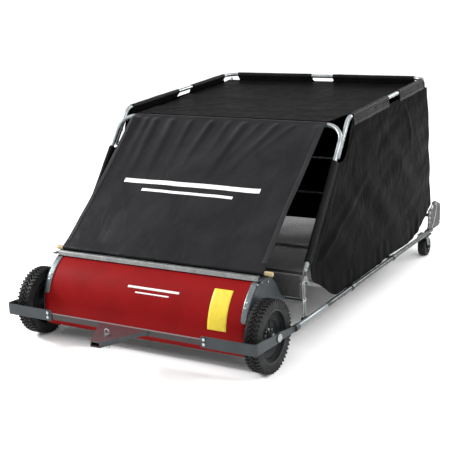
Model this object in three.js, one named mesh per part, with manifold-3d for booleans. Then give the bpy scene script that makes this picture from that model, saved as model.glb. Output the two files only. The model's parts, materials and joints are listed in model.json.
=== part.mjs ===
// Tow-behind lawn sweeper: a brush housing on two wheels with a tilting fabric hopper behind it.
// Units are millimetres, +Z is up, the machine is towed towards -Y, and +X is its left-hand side.
// Everything is drawn from the wheel axle's centre line and moved to the origin at the very end.
import * as THREE from 'three';
import { mergeVertices } from 'three/addons/utils/BufferGeometryUtils.js';
import Module from 'manifold-3d';

const wasm = await Module();
wasm.setup();

// ---- Driving dimensions ----
const CLEAR = 0.3;               // air left between two pieces that touch
const RUNNING = 0.8;             // radial play where a round piece turns in a hole
const OVERCUT = 9;               // how far a cutting shape reaches past the piece it cuts

const TYRE_RADIUS = 152.4;       // nominal 12 inch wheel
const TYRE_OUTER_X = 606;
const TYRE_INNER_X = 546;
const RIM_RADIUS = 108;
const AXLE = { y: 0, z: 152.4, radius: 8 };

const HOUSING_HALF_WIDTH = 514;
const SHELL = { y: 160, z: 150, radius: 230, thickness: 2, topAngle: 116.5, facetAngle: 7, facets: 12 };
const SIDE_PLATE = { x: 516, thickness: 3 };

const GEAR_MODULE = 5;
const RING_TEETH = 32;
const PINION_TEETH = 8;
const RING_GEAR = { inner: 553, outer: 574, radius: 94 };
const PINION = { inner: 554, outer: 568 };
const GEAR_ANGLE = -20;          // direction from the axle to the brush shaft, in degrees
const GEAR_DISTANCE = GEAR_MODULE * (RING_TEETH - PINION_TEETH) / 2;
const BRUSH = {
  y: AXLE.y + GEAR_DISTANCE * Math.cos(THREE.MathUtils.degToRad(GEAR_ANGLE)),
  z: AXLE.z + GEAR_DISTANCE * Math.sin(THREE.MathUtils.degToRad(GEAR_ANGLE)),
  shaftRadius: 8,
  coreRadius: 20,
  radius: 115,
  rows: 4,
};

const BAR = { y: -188, low: 146, high: 170, lip: 12, halfWidth: 409, thickness: 4 };
const ARM = { x: 624, low: 139, high: 187, eye: 20, thickness: 4, innerEnd: 378 };
const TONGUE = { top: 170, thickness: 4, rootHalf: 122, tipHalf: 23, tipY: -380, flange: 18 };
const HITCH_PIN = { y: -300, radius: 8 };

const RAIL = { x: 620, z: 138, radius: 11, bore: 9, front: 158.3, rear: 1870 };
const CLIP_RADIUS = 14.5;        // outside of the sockets and saddles that hold a rail
const CROSS_TUBES = { front: 756, rear: 1282 };
const REAR_TUBE = { y: 1990, z: 190 };
const BRACKET_THICKNESS = 4;
const CASTER = { x: 590, swivelY: 1816, wheelY: 1841, radius: 50, halfWidth: 22, crown: 29, cupLow: 112 };

const PIVOT = { y: 294, z: 332, radius: 6 };
const LEG_X = 600;
const LEG_ANGLE = 52.4;          // lean of the hopper's front bow, in degrees from level
const BOW_LENGTH = 709;
const TUBE_RADIUS = 10;
const BAG_X = 611;
const CLOTH = 1.5;
const TOP_FRONT = { y: 774, z: 923.5 };
const TOP_REAR = { y: 1807, z: 981 };
const BAG_REAR_LOW = { y: 1868, z: 297 };
const SCREEN_HALF_WIDTH = 519;
const DOWEL = { y: 99, z: 379, radius: 10.5, halfLength: 555 };

// ---- Materials ----
const finish = (color, roughness, metalness) => () =>
  new THREE.MeshStandardMaterial({ color, roughness, metalness });
const redPaint = finish(0xa3282a, 0.32, 0.0);
const greyPaint = finish(0x434b4e, 0.45, 0.1);
const galvanised = finish(0xa9b0b2, 0.38, 0.85);
const blackSteel = finish(0x2b2d2f, 0.5, 0.2);
const brownSteel = finish(0x6f6a66, 0.5, 0.3);
const tyreRubber = finish(0x2c2d2e, 0.85, 0.0);
const blackPlastic = finish(0x26282a, 0.55, 0.0);
const bristle = finish(0x1d1d1f, 0.9, 0.0);
const fabric = finish(0x2b2c2e, 0.8, 0.0);
const mesh = finish(0x3a3a3b, 0.85, 0.0);
const dowelWood = finish(0xb9ab86, 0.7, 0.0);

// ---- Solid helpers ----
function toSolid(geometry) {
  const bare = geometry.clone();
  bare.deleteAttribute('normal');
  bare.deleteAttribute('uv');
  const welded = mergeVertices(bare, 1e-4);
  return new wasm.Manifold(new wasm.Mesh({
    numProp: 3,
    vertProperties: new Float32Array(welded.attributes.position.array),
    triVerts: new Uint32Array(welded.index.array),
  }));
}

function toGeometry(solid) {
  const result = solid.getMesh();
  const geometry = new THREE.BufferGeometry();
  geometry.setAttribute('position', new THREE.BufferAttribute(result.vertProperties, 3));
  geometry.setIndex(new THREE.BufferAttribute(result.triVerts, 1));
  geometry.computeVertexNormals();
  return geometry;
}

function join(...geometries) {
  let solid = toSolid(geometries[0]);
  for (const geometry of geometries.slice(1)) {
    solid = solid.add(toSolid(geometry));
  }
  return toGeometry(solid);
}

function cut(geometry, ...tools) {
  let solid = toSolid(geometry);
  for (const tool of tools) {
    solid = solid.subtract(toSolid(tool));
  }
  return toGeometry(solid);
}

// The same piece on the machine's other side; its triangles are turned round to keep facing out.
function mirrorX(geometry) {
  const flipped = mergeVertices(geometry.clone().scale(-1, 1, 1));
  const order = flipped.index.array;
  for (let i = 0; i < order.length; i += 3) {
    [order[i], order[i + 1]] = [order[i + 1], order[i]];
  }
  flipped.computeVertexNormals();
  return flipped;
}

// A flat outline pushed along one axis. Outlines are [across, up] pairs.
function extrude(outline, depth) {
  const shape = new THREE.Shape(outline.map(([a, b]) => new THREE.Vector2(a, b)));
  return new THREE.ExtrudeGeometry(shape, { depth, bevelEnabled: false, curveSegments: 1 });
}

// Outline in (Y, Z), pushed from x0 to x1.
function extrudeX(outline, x0, x1) {
  const turn = new THREE.Matrix4().makeBasis(
    new THREE.Vector3(0, 1, 0), new THREE.Vector3(0, 0, 1), new THREE.Vector3(1, 0, 0));
  return extrude(outline, x1 - x0).applyMatrix4(turn).translate(x0, 0, 0);
}

// Outline in (X, Y), pushed from z0 to z1.
function extrudeZ(outline, z0, z1) {
  return extrude(outline, z1 - z0).translate(0, 0, z0);
}

function box(x0, x1, y0, y1, z0, z1) {
  return new THREE.BoxGeometry(x1 - x0, y1 - y0, z1 - z0)
    .translate((x0 + x1) / 2, (y0 + y1) / 2, (z0 + z1) / 2);
}

const point = (x, y, z) => new THREE.Vector3(x, y, z);

function rod(from, to, radius, sides = 12) {
  const along = to.clone().sub(from);
  const turn = new THREE.Quaternion().setFromUnitVectors(point(0, 1, 0), along.clone().normalize());
  return new THREE.CylinderGeometry(radius, radius, along.length(), sides)
    .applyQuaternion(turn)
    .translate(...from.clone().add(to).multiplyScalar(0.5).toArray());
}

const rodX = (x0, x1, y, z, radius, sides) => rod(point(x0, y, z), point(x1, y, z), radius, sides);

// A ring turned about a line parallel to X; the profile holds [radius, x] pairs.
function turnX(profile, y, z, sides = 32) {
  const points = [...profile, profile[0]].map(([r, x]) => new THREE.Vector2(r, x));
  return toGeometry(toSolid(new THREE.LatheGeometry(points, sides)))
    .rotateZ(-Math.PI / 2)
    .translate(0, y, z);
}

function arc(cy, cz, radius, startDegrees, endDegrees, steps) {
  const points = [];
  for (let i = 0; i <= steps; i += 1) {
    const angle = THREE.MathUtils.degToRad(startDegrees + (endDegrees - startDegrees) * i / steps);
    points.push([cy + radius * Math.cos(angle), cz + radius * Math.sin(angle)]);
  }
  return points;
}

// A flat link with round ends between two points in (Y, Z).
function link(a, b, radius, x0, x1) {
  const heading = THREE.MathUtils.radToDeg(Math.atan2(b.z - a.z, b.y - a.y));
  const outline = [
    ...arc(b.y, b.z, radius, heading - 90, heading + 90, 6),
    ...arc(a.y, a.z, radius, heading + 90, heading + 270, 6),
  ];
  return extrudeX(outline, x0, x1);
}

// Polyline with every inner corner replaced by a circular bend.
function bentPath(corners, bendRadius, steps = 4) {
  const path = [corners[0]];
  for (let i = 1; i < corners.length - 1; i += 1) {
    const inward = corners[i - 1].clone().sub(corners[i]).normalize();
    const outward = corners[i + 1].clone().sub(corners[i]).normalize();
    const half = inward.angleTo(outward) / 2;
    const reach = bendRadius / Math.tan(half);
    const centre = corners[i].clone().addScaledVector(
      inward.clone().add(outward).normalize(), bendRadius / Math.sin(half));
    const start = corners[i].clone().addScaledVector(inward, reach).sub(centre);
    const turnAxis = inward.clone().cross(start).normalize();
    for (let k = 0; k <= steps; k += 1) {
      const angle = (Math.PI - 2 * half) * k / steps;
      path.push(start.clone().applyAxisAngle(turnAxis, angle).add(centre));
    }
  }
  path.push(corners[corners.length - 1]);
  return path;
}

// A round bar swept along a path of points, closed by a flat cap at each end.
function sweptBar(path, radius, sides = 10) {
  const positions = [];
  const indices = [];
  const headings = path.map((p, i) => {
    const before = path[Math.max(i - 1, 0)];
    const after = path[Math.min(i + 1, path.length - 1)];
    return after.clone().sub(before).normalize();
  });
  let side = new THREE.Vector3(0.3, 0.2, 1).cross(headings[0]).normalize();
  path.forEach((centre, i) => {
    side = side.clone().addScaledVector(headings[i], -side.dot(headings[i])).normalize();
    const other = headings[i].clone().cross(side);
    for (let k = 0; k < sides; k += 1) {
      const angle = 2 * Math.PI * k / sides;
      const rim = centre.clone()
        .addScaledVector(side, radius * Math.cos(angle))
        .addScaledVector(other, radius * Math.sin(angle));
      positions.push(...rim.toArray());
    }
  });
  for (let i = 0; i < path.length - 1; i += 1) {
    for (let k = 0; k < sides; k += 1) {
      const next = (k + 1) % sides;
      const a = i * sides + k;
      const b = i * sides + next;
      indices.push(a, b, b + sides, a, b + sides, a + sides);
    }
  }
  const last = (path.length - 1) * sides;
  for (let k = 1; k < sides - 1; k += 1) {
    indices.push(0, k + 1, k, last, last + k, last + k + 1);
  }
  const geometry = new THREE.BufferGeometry();
  geometry.setAttribute('position', new THREE.Float32BufferAttribute(positions, 3));
  geometry.setIndex(indices);
  geometry.computeVertexNormals();
  return geometry;
}

// ---- Positions derived from the driving dimensions ----
const legAngle = THREE.MathUtils.degToRad(LEG_ANGLE);
const legPoint = (distance, back = 0) => ({
  y: PIVOT.y + distance * Math.cos(legAngle) + back * Math.sin(legAngle),
  z: PIVOT.z + distance * Math.sin(legAngle) - back * Math.cos(legAngle),
});
const at = (x, spot) => point(x, spot.y, spot.z);
const bowTop = legPoint(BOW_LENGTH);
const floorRod = { y: 341, z: 276, radius: 5 };

// Points down the housing's curve from its top edge, over a whole number of its facets.
function shellArc(radius, facets) {
  const endAngle = SHELL.topAngle + facets * SHELL.facetAngle;
  return arc(SHELL.y, SHELL.z, radius, SHELL.topAngle, endAngle, facets);
}

// ---- Brush housing ----
function housingShell() {
  const outer = shellArc(SHELL.radius, SHELL.facets);
  const inner = shellArc(SHELL.radius - SHELL.thickness, SHELL.facets).reverse();
  return extrudeX([...outer, ...inner], -HOUSING_HALF_WIDTH, HOUSING_HALF_WIDTH);
}

function sidePlate() {
  const frontEdge = arc(SHELL.y, SHELL.z, SHELL.radius + 2, 201, 118, 9);
  const rearEdge = [[62, 368], [110, 368], [150, 352], [192, 312], [222, 268], [246, 238], [279, 230],
    [279, 224], [250, 215], [236, 150], [200, 66]];
  const plate = extrudeX([...frontEdge, ...rearEdge], SIDE_PLATE.x, SIDE_PLATE.x + SIDE_PLATE.thickness);
  const flangeOutline = [[40, 364], [112, 364], [112, 368], [40, 368]];
  const flange = extrudeX(flangeOutline, SIDE_PLATE.x + 1, SIDE_PLATE.x + 24);
  const [holeStart, holeEnd] = [SIDE_PLATE.x - OVERCUT, SIDE_PLATE.x + SIDE_PLATE.thickness + OVERCUT];
  const axleHole = rodX(holeStart, holeEnd, AXLE.y, AXLE.z, AXLE.radius + CLEAR, 16);
  const shaftHole = rodX(holeStart, holeEnd, BRUSH.y, BRUSH.z, BRUSH.shaftRadius + RUNNING, 16);
  return cut(join(plate, flange), axleHole, shaftHole);
}

function topBar() {
  const outline = [[48, 358.5], [68, 358.5], [68, 375], [65, 378], [51, 378], [48, 375]];
  return extrudeX(outline, -HOUSING_HALF_WIDTH, HOUSING_HALF_WIDTH);
}

function shellStrap() {
  const low = SHELL.radius + CLEAR;
  const high = low + 2;
  const strip = extrudeX([...shellArc(high, 7), ...shellArc(low, 7).reverse()], 480, HOUSING_HALF_WIDTH);
  const bolts = [143, 149].map((degrees) => {
    const [foot, head] = [low + 1, high + 4].map(
      (radius) => arc(SHELL.y, SHELL.z, radius, degrees, degrees, 1)[0]);
    return rod(point(497, ...foot), point(497, ...head), 6, 6);
  });
  return join(strip, ...bolts);
}

// ---- Tow hitch ----
function hitchBar() {
  const back = BAR.y + CLEAR;
  const outline = [[back, BAR.low], [back + BAR.thickness, BAR.low],
    [back + BAR.thickness, BAR.high - BAR.thickness], [back + BAR.lip, BAR.high - BAR.thickness],
    [back + BAR.lip, BAR.high], [back, BAR.high]];
  return extrudeX(outline, -BAR.halfWidth, BAR.halfWidth);
}

function hitchArm() {
  const front = BAR.y - ARM.thickness;
  const outer = ARM.x + ARM.thickness;
  const frontLeg = box(ARM.innerEnd, outer, front, BAR.y, ARM.low, ARM.high);
  const sideLeg = extrudeX([
    [front, ARM.high], [front, ARM.low], ...arc(AXLE.y, AXLE.z, ARM.eye, -90, 90, 6),
  ], ARM.x, outer);
  const hole = rodX(ARM.x - OVERCUT, outer + OVERCUT, AXLE.y, AXLE.z, AXLE.radius + CLEAR, 16);
  const boltX = ARM.innerEnd + 16;
  const bolts = [151, 166].map((z) => rod(
    point(boltX, front + 1, z), point(boltX, front - 4, z), 6, 6));
  return cut(join(frontLeg, sideLeg, ...bolts), hole);
}

const pinHole = () => rod(
  point(0, HITCH_PIN.y, 100), point(0, HITCH_PIN.y, 200), HITCH_PIN.radius + RUNNING, 16);

function hitchTongue() {
  const root = BAR.y - CLEAR;
  const low = TONGUE.top - TONGUE.thickness;
  const plate = extrudeZ([[-TONGUE.rootHalf, root], [-TONGUE.tipHalf, TONGUE.tipY],
    [TONGUE.tipHalf, TONGUE.tipY], [TONGUE.rootHalf, root]], low, TONGUE.top);
  const flanges = [-1, 1].map((side) => extrudeZ([
    [side * TONGUE.rootHalf, root], [side * TONGUE.tipHalf, TONGUE.tipY],
    [side * (TONGUE.tipHalf - 3), TONGUE.tipY], [side * (TONGUE.rootHalf - 3), root],
  ], TONGUE.top - TONGUE.flange, low + 1));
  const backPlate = box(-TONGUE.rootHalf + 4, TONGUE.rootHalf - 4, root - 3, root, BAR.low, low + 1);
  return cut(join(plate, ...flanges, backPlate), pinHole());
}

function hitchLowerPlate() {
  const top = TONGUE.top - TONGUE.flange - CLEAR;
  const plate = extrudeZ([[-72, -286], [-TONGUE.tipHalf, TONGUE.tipY - 4],
    [TONGUE.tipHalf, TONGUE.tipY - 4], [72, -286]], top - 4, top);
  return cut(plate, pinHole());
}

function hitchPin() {
  const seat = TONGUE.top + CLEAR;
  const shank = rod(point(0, HITCH_PIN.y, 118), point(0, HITCH_PIN.y, seat + 2), HITCH_PIN.radius, 16);
  const head = rod(point(0, HITCH_PIN.y, seat), point(0, HITCH_PIN.y, seat + 5), 12, 16);
  const pull = new THREE.TorusGeometry(11, 2.5, 6, 14).rotateX(Math.PI / 2)
    .translate(0, HITCH_PIN.y, seat + 15);
  return join(shank, head, pull);
}

// ---- Wheels and drive ----
function tyre() {
  const inner = TYRE_INNER_X;
  const outer = TYRE_OUTER_X;
  return turnX([
    [RIM_RADIUS + CLEAR, inner + 2], [136, inner], [147, inner + 5], [TYRE_RADIUS, inner + 14],
    [TYRE_RADIUS, outer - 14], [147, outer - 5], [136, outer], [RIM_RADIUS + CLEAR, outer - 2],
  ], AXLE.y, AXLE.z, 32);
}

function wheelRim() {
  const barrel = RIM_RADIUS - 4;
  const disc = 576;
  const hub = 22;
  return turnX([
    [AXLE.radius + RUNNING, 562], [hub, 562], [hub, disc - 1.5], [68, disc - 1.5], [74, disc + 6],
    [barrel, disc + 6], [barrel, TYRE_INNER_X + 3], [RIM_RADIUS, TYRE_INNER_X + 3],
    [RIM_RADIUS, TYRE_OUTER_X - 3], [barrel, TYRE_OUTER_X - 3], [barrel, disc + 10],
    [70, disc + 10], [64, disc + 2.5], [hub, disc + 2.5], [hub, 596], [AXLE.radius + RUNNING, 596],
  ], AXLE.y, AXLE.z, 32);
}

// Tooth outline: each tooth is four points, at the root, the two tip corners and the root again.
function toothedCircle(teeth, rootRadius, tipRadius, rootShare, tipShare, phaseDegrees) {
  const pitch = 360 / teeth;
  const points = [];
  for (let i = 0; i < teeth; i += 1) {
    const middle = phaseDegrees + i * pitch;
    const corners = [
      [rootRadius, -rootShare], [tipRadius, -tipShare], [tipRadius, tipShare], [rootRadius, rootShare],
    ];
    for (const [radius, share] of corners) {
      points.push(arc(0, 0, radius, middle + share * pitch / 2, middle, 1)[0]);
    }
  }
  return points;
}

const pitchRadius = (teeth) => GEAR_MODULE * teeth / 2;

// The ring's teeth point inwards: the blank has a gear-shaped hole, half a pitch out of step.
function ringGear() {
  const halfPitch = 180 / RING_TEETH;
  const pitchLine = pitchRadius(RING_TEETH);
  const outline = toothedCircle(
    RING_TEETH, pitchLine + 5.5, pitchLine - 3.2, 0.62, 0.3, GEAR_ANGLE + halfPitch);
  const blank = rodX(RING_GEAR.inner, RING_GEAR.outer, 0, 0, RING_GEAR.radius, 40);
  const opening = extrudeX(outline, RING_GEAR.inner - OVERCUT, RING_GEAR.outer + OVERCUT);
  return cut(blank, opening).translate(0, AXLE.y, AXLE.z);
}

function pinion() {
  const pitchLine = pitchRadius(PINION_TEETH);
  const outline = toothedCircle(PINION_TEETH, pitchLine - 5.4, pitchLine + 3.4, 0.58, 0.26, GEAR_ANGLE);
  const blank = extrudeX(outline, PINION.inner, PINION.outer);
  const bore = rodX(
    PINION.inner - OVERCUT, PINION.outer + OVERCUT, 0, 0, BRUSH.shaftRadius + RUNNING, 16);
  return cut(blank, bore).translate(0, BRUSH.y, BRUSH.z);
}

function axleBolt() {
  const outer = ARM.x + ARM.thickness + CLEAR;
  const shank = rodX(508, outer + 1, AXLE.y, AXLE.z, AXLE.radius - CLEAR, 16);
  const knob = turnX([[0.01, outer], [15, outer], [15, outer + 3], [10, outer + 5], [0.01, outer + 5]],
    AXLE.y, AXLE.z, 16);
  const collar = rodX(597, 602, AXLE.y, AXLE.z, 13, 6);
  return join(shank, knob, collar);
}

// ---- Brush ----
function brushShaft() {
  const shaft = rodX(-571, 571, BRUSH.y, BRUSH.z, BRUSH.shaftRadius, 16);
  const core = rodX(-508, 508, BRUSH.y, BRUSH.z, BRUSH.coreRadius, 16);
  return join(shaft, core);
}

function brushRow(index) {
  const root = BRUSH.coreRadius + CLEAR;
  return extrudeX([[root, -5], [BRUSH.radius, -10], [BRUSH.radius, 10], [root, 5]], -505, 505)
    .rotateX(2 * Math.PI * (index + 0.25) / BRUSH.rows)
    .translate(0, BRUSH.y, BRUSH.z);
}

// ---- Rails and running gear ----
function railBracket() {
  const outer = ARM.x - CLEAR;
  const inner = outer - BRACKET_THICKNESS;
  const start = 154;
  const end = 185;
  const strap = extrudeX([
    ...arc(AXLE.y, AXLE.z, ARM.eye, 90, 270, 6), [start + 3, RAIL.z - 12], [start + 3, RAIL.z + 12],
  ], inner, outer);
  const socket = rod(point(RAIL.x, start, RAIL.z), point(RAIL.x, end, RAIL.z), CLIP_RADIUS, 16);
  const bore = rod(
    point(RAIL.x, start + 4, RAIL.z), point(RAIL.x, end + OVERCUT, RAIL.z), RAIL.radius + 0.5, 16);
  const hole = rodX(inner - OVERCUT, outer + OVERCUT, AXLE.y, AXLE.z, AXLE.radius + CLEAR, 16);
  return cut(join(strap, socket), bore, hole);
}

function sideRail() {
  const tube = rod(point(RAIL.x, RAIL.front, RAIL.z), point(RAIL.x, RAIL.rear, RAIL.z), RAIL.radius, 16);
  const bore = rod(
    point(RAIL.x, RAIL.front - OVERCUT, RAIL.z), point(RAIL.x, RAIL.rear + OVERCUT, RAIL.z), RAIL.bore, 16);
  return cut(tube, bore);
}

function crossTube(y) {
  const half = RAIL.x - RAIL.radius - 1.5;
  const tube = rodX(-half, half, y, RAIL.z, 9, 12);
  const saddles = [-1, 1].map((side) => rod(
    point(side * RAIL.x, y - 12, RAIL.z), point(side * RAIL.x, y + 12, RAIL.z), CLIP_RADIUS, 12));
  const bores = [-1, 1].map((side) => rod(
    point(side * RAIL.x, y - 20, RAIL.z), point(side * RAIL.x, y + 20, RAIL.z), RAIL.radius + 0.6, 12));
  return cut(join(tube, ...saddles), ...bores);
}

function rearBracket() {
  const outer = RAIL.x - RAIL.radius - CLEAR;
  const outline = [[1796, 128], [2030, 128], [2042, 134], [2054, 246], [1990, 274], [1960, 284],
    [1924, 285], [1905, 262], [1856, 250], [1850, 160], [1838, 149], [1796, 149]];
  return extrudeX(outline, outer - BRACKET_THICKNESS, outer);
}

function rearCrossTube() {
  const half = RAIL.x - RAIL.radius - 2 * CLEAR - BRACKET_THICKNESS;
  return rodX(-half, half, REAR_TUBE.y, REAR_TUBE.z, TUBE_RADIUS, 12);
}

// An upright round bar on the caster's swivel line.
const swivelRod = (z0, z1, radius, sides) =>
  rod(point(CASTER.x, CASTER.swivelY, z0), point(CASTER.x, CASTER.swivelY, z1), radius, sides);

function casterMount() {
  const plateTop = RAIL.z - RAIL.radius - CLEAR;
  const plate = box(568, 631, CASTER.swivelY - 30, CASTER.swivelY + 30, plateTop - 4, plateTop);
  const cup = swivelRod(CASTER.cupLow, plateTop - 3, 16, 16);
  const bore = swivelRod(CASTER.cupLow - OVERCUT, plateTop + OVERCUT, 5.8, 16);
  return cut(join(plate, cup), bore);
}

function casterFork() {
  const top = CASTER.cupLow - CLEAR;
  const crown = swivelRod(top - 4, top, CASTER.crown, 24);
  const kingpin = swivelRod(top - 2, RAIL.z - RAIL.radius - 2, 5, 12);
  const leg = [[1797, top - 1], [1828, CASTER.radius - 12], [1841, CASTER.radius - 15],
    [1854, CASTER.radius - 10], [1856, CASTER.radius + 6], [1834, top - 1]];
  const gap = CASTER.halfWidth + 3;
  const legs = [-1, 1].map((side) => {
    const near = CASTER.x + side * gap;
    const far = CASTER.x + side * (gap + 3);
    return extrudeX(leg, Math.min(near, far), Math.max(near, far));
  });
  const bolt = rodX(CASTER.x - gap - 9, CASTER.x + gap + 9, CASTER.wheelY, CASTER.radius, 5, 12);
  const nuts = [-1, 1].map((side) => rodX(
    CASTER.x + side * (gap + 2), CASTER.x + side * (gap + 10), CASTER.wheelY, CASTER.radius, 9, 6));
  return join(crown, kingpin, ...legs, bolt, ...nuts);
}

function casterWheel() {
  const half = CASTER.halfWidth;
  return turnX([
    [5 + RUNNING, -half], [14, -half], [14, -half + 4], [35, -half + 4], [35, -half], [46, -half],
    [CASTER.radius, -half + 4], [CASTER.radius, half - 4], [46, half], [35, half],
    [35, half - 4], [14, half - 4], [14, half], [5 + RUNNING, half],
  ], CASTER.wheelY, CASTER.radius, 24).translate(CASTER.x, 0, 0);
}

// ---- Hopper supports ----
function hopperPost() {
  const outer = RAIL.x - RAIL.radius - CLEAR;
  const foot = box(597, outer, 262, 298, 128, 166);
  const rods = [273, 287].map((y) => rod(point(603, y, 160), point(603, y, 306), 4, 8));
  const clamp = box(597.5, 608, 266, 294, 212, 226);
  const eye = link({ y: 280, z: 300 }, PIVOT, 12, 603, 606);
  const hole = rodX(590, 620, PIVOT.y, PIVOT.z, PIVOT.radius + 0.4, 16);
  return cut(join(foot, ...rods, clamp, eye), hole);
}

function hingeRod() {
  const shaft = rodX(-610, 610, PIVOT.y, PIVOT.z, PIVOT.radius, 16);
  const nuts = [-1, 1].map((side) => rodX(
    side * (606 + CLEAR), side * 610.4, PIVOT.y, PIVOT.z, 10, 6));
  return join(shaft, ...nuts);
}

const lowerCrossRod = () => rodX(-597.2, 597.2, 280, 219, 4, 10);

const debrisFlap = () => box(-585, 585, 283.5, 285, 225, 324);

// ---- Hopper frame ----
function frontBow() {
  const foot = legPoint(26);
  const corners = [at(-LEG_X, foot), at(-LEG_X, bowTop), at(LEG_X, bowTop), at(LEG_X, foot)];
  const tube = sweptBar(bentPath(corners, 80), TUBE_RADIUS);
  const fittings = [-1, 1].flatMap((side) => {
    const x0 = side * LEG_X - 2;
    const lug = link(PIVOT, legPoint(44), 12, x0, x0 + 4);
    const brace = link(PIVOT, floorRod, 9, x0, x0 + 4);
    return [lug, brace];
  });
  const pivotHole = rodX(-620, 620, PIVOT.y, PIVOT.z, PIVOT.radius + RUNNING, 16);
  const rodHole = rodX(-620, 620, floorRod.y, floorRod.z, floorRod.radius + 0.4, 12);
  return cut(join(tube, ...fittings), pivotHole, rodHole);
}

const floorFrontRod = () => rodX(-604, 604, floorRod.y, floorRod.z, floorRod.radius, 12);

function topFrame() {
  const beside = 2 * TUBE_RADIUS + 2 * CLEAR;
  const rightSide = [legPoint(556, beside), TOP_FRONT, TOP_REAR].map((spot) => at(-LEG_X, spot));
  const leftSide = [TOP_REAR, TOP_FRONT, legPoint(556, beside)].map((spot) => at(LEG_X, spot));
  const corners = [...rightSide, ...leftSide];
  return sweptBar(bentPath(corners, 62), TUBE_RADIUS);
}

function rearFrame() {
  const top = { y: 1808, z: 962 };
  const corners = [at(-586, top), at(-586, BAG_REAR_LOW), at(586, BAG_REAR_LOW), at(586, top)];
  return sweptBar(bentPath(corners, 50), 8);
}

// ---- Hopper cloth ----
const alongTop = (distance) => {
  const run = point(0, TOP_REAR.y - TOP_FRONT.y, TOP_REAR.z - TOP_FRONT.z).normalize();
  return { y: TOP_FRONT.y + run.y * distance, z: TOP_FRONT.z + run.z * distance };
};

const floorCurve = new THREE.SplineCurve([
  new THREE.Vector2(353, 278), new THREE.Vector2(590, 176),
  new THREE.Vector2(1223, 160), new THREE.Vector2(1700, 194), new THREE.Vector2(1858, 280),
]);

function sleeve(x, from, to) {
  return rod(at(x, from), at(x, to), TUBE_RADIUS + 3, 12);
}

function bagSide() {
  const floorEdge = floorCurve.getPoints(14).map((p) => [p.x, p.y]);
  const notch = [[534, 4], [560, 40], [600, 62], [650, 62], [690, 50]].map(
    ([distance, back]) => legPoint(distance, back));
  const rearEdge = [[1886, 286], [1822, 972]];
  const topEdge = [[612, 0], [608, -28], [472, -28], [468, 0], [28, 0]].map(([distance, drop]) => {
    const spot = alongTop(distance);
    return [spot.y, spot.z + drop];
  });
  const outline = [
    [legPoint(50).y, legPoint(50).z], [338, 300], ...floorEdge, ...rearEdge,
    ...topEdge, ...notch.reverse().map((spot) => [spot.y, spot.z]),
  ];
  const panel = extrudeX(outline, BAG_X, BAG_X + CLOTH);
  const legSleeve = sleeve(LEG_X, legPoint(50), legPoint(534));
  const topSleeves = [[30, 470], [610, 955]].map(
    ([start, end]) => sleeve(LEG_X, alongTop(start), alongTop(end)));
  const legBore = rod(at(LEG_X, legPoint(40)), at(LEG_X, legPoint(544)), TUBE_RADIUS + 0.9, 12);
  const topBore = rod(at(LEG_X, alongTop(10)), at(LEG_X, alongTop(975)), TUBE_RADIUS + 0.9, 12);
  return cut(join(panel, legSleeve, ...topSleeves), legBore, topBore);
}

function bagBack() {
  const lean = 9.8;
  const panel = extrudeX([[BAG_REAR_LOW.y + lean, 283], [BAG_REAR_LOW.y + lean + CLOTH, 283],
    [TOP_REAR.y + 12.7, TOP_REAR.z], [TOP_REAR.y + 11.2, TOP_REAR.z]], -608, 608);
  const sleeves = [-1, 1].map((side) => rodX(
    side * 66, side * 530, TOP_REAR.y, TOP_REAR.z, TUBE_RADIUS + 3, 12));
  const bore = rodX(-600, 600, TOP_REAR.y, TOP_REAR.z, TUBE_RADIUS + 0.9, 12);
  return cut(join(panel, ...sleeves), bore);
}

function bagFloor() {
  const under = floorCurve.getPoints(14).map((p) => [p.x, p.y]);
  const over = under.map(([y, z]) => [y, z + CLOTH]).reverse();
  return extrudeX([...under, ...over], -609, 609);
}

function topCover() {
  const front = { y: bowTop.y + 10, z: bowTop.z + 12 };
  const rear = { y: 1790, z: 955 };
  const rearHalfWidth = 586;
  const outline = [[-SCREEN_HALF_WIDTH, front.y], [SCREEN_HALF_WIDTH, front.y],
    [rearHalfWidth, rear.y], [-rearHalfWidth, rear.y]];
  const rise = (rear.z - front.z) / (rear.y - front.y);
  const sheet = extrudeZ(outline, 0, CLOTH);
  const shear = new THREE.Matrix4().set(
    1, 0, 0, 0,
    0, 1, 0, 0,
    0, rise, 1, front.z - rise * front.y,
    0, 0, 0, 1);
  return sheet.applyMatrix4(shear);
}

// ---- Wind screen ----
function windScreen() {
  const away = TUBE_RADIUS + 1.5;
  const run = point(0, DOWEL.y - bowTop.y, DOWEL.z - bowTop.z).normalize();
  const normal = { y: run.z, z: -run.y };
  const offset = (spot, distance) => [spot.y + normal.y * distance, spot.z + normal.z * distance];
  const startAt = { y: bowTop.y + run.y * 3, z: bowTop.z + run.z * 3 };
  const panel = extrudeX([offset(startAt, away), offset(DOWEL, away), offset(DOWEL, away + CLOTH),
    offset(startAt, away + CLOTH)], -SCREEN_HALF_WIDTH, SCREEN_HALF_WIDTH);
  const trimmed = cut(panel, box(-600, 600, DOWEL.y - 60, DOWEL.y, DOWEL.z - 40, DOWEL.z + 4));
  const hem = rodX(-511, 511, DOWEL.y, DOWEL.z, DOWEL.radius + 3, 16);
  const bore = rodX(-530, 530, DOWEL.y, DOWEL.z, DOWEL.radius + 0.7, 16);
  return cut(join(trimmed, hem), bore);
}

const dowel = () => rodX(-DOWEL.halfLength, DOWEL.halfLength, DOWEL.y, DOWEL.z, DOWEL.radius, 16);

// ---- Assembly ----
const assembly = new THREE.Group();
assembly.name = 'lawn_sweeper';

function add(name, geometry, material) {
  const part = new THREE.Mesh(geometry, material());
  part.name = name;
  assembly.add(part);
}

function addPair(name, build, material) {
  const geometry = build();
  add(`${name}_left`, geometry, material);
  add(`${name}_right`, mirrorX(geometry), material);
}

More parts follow.
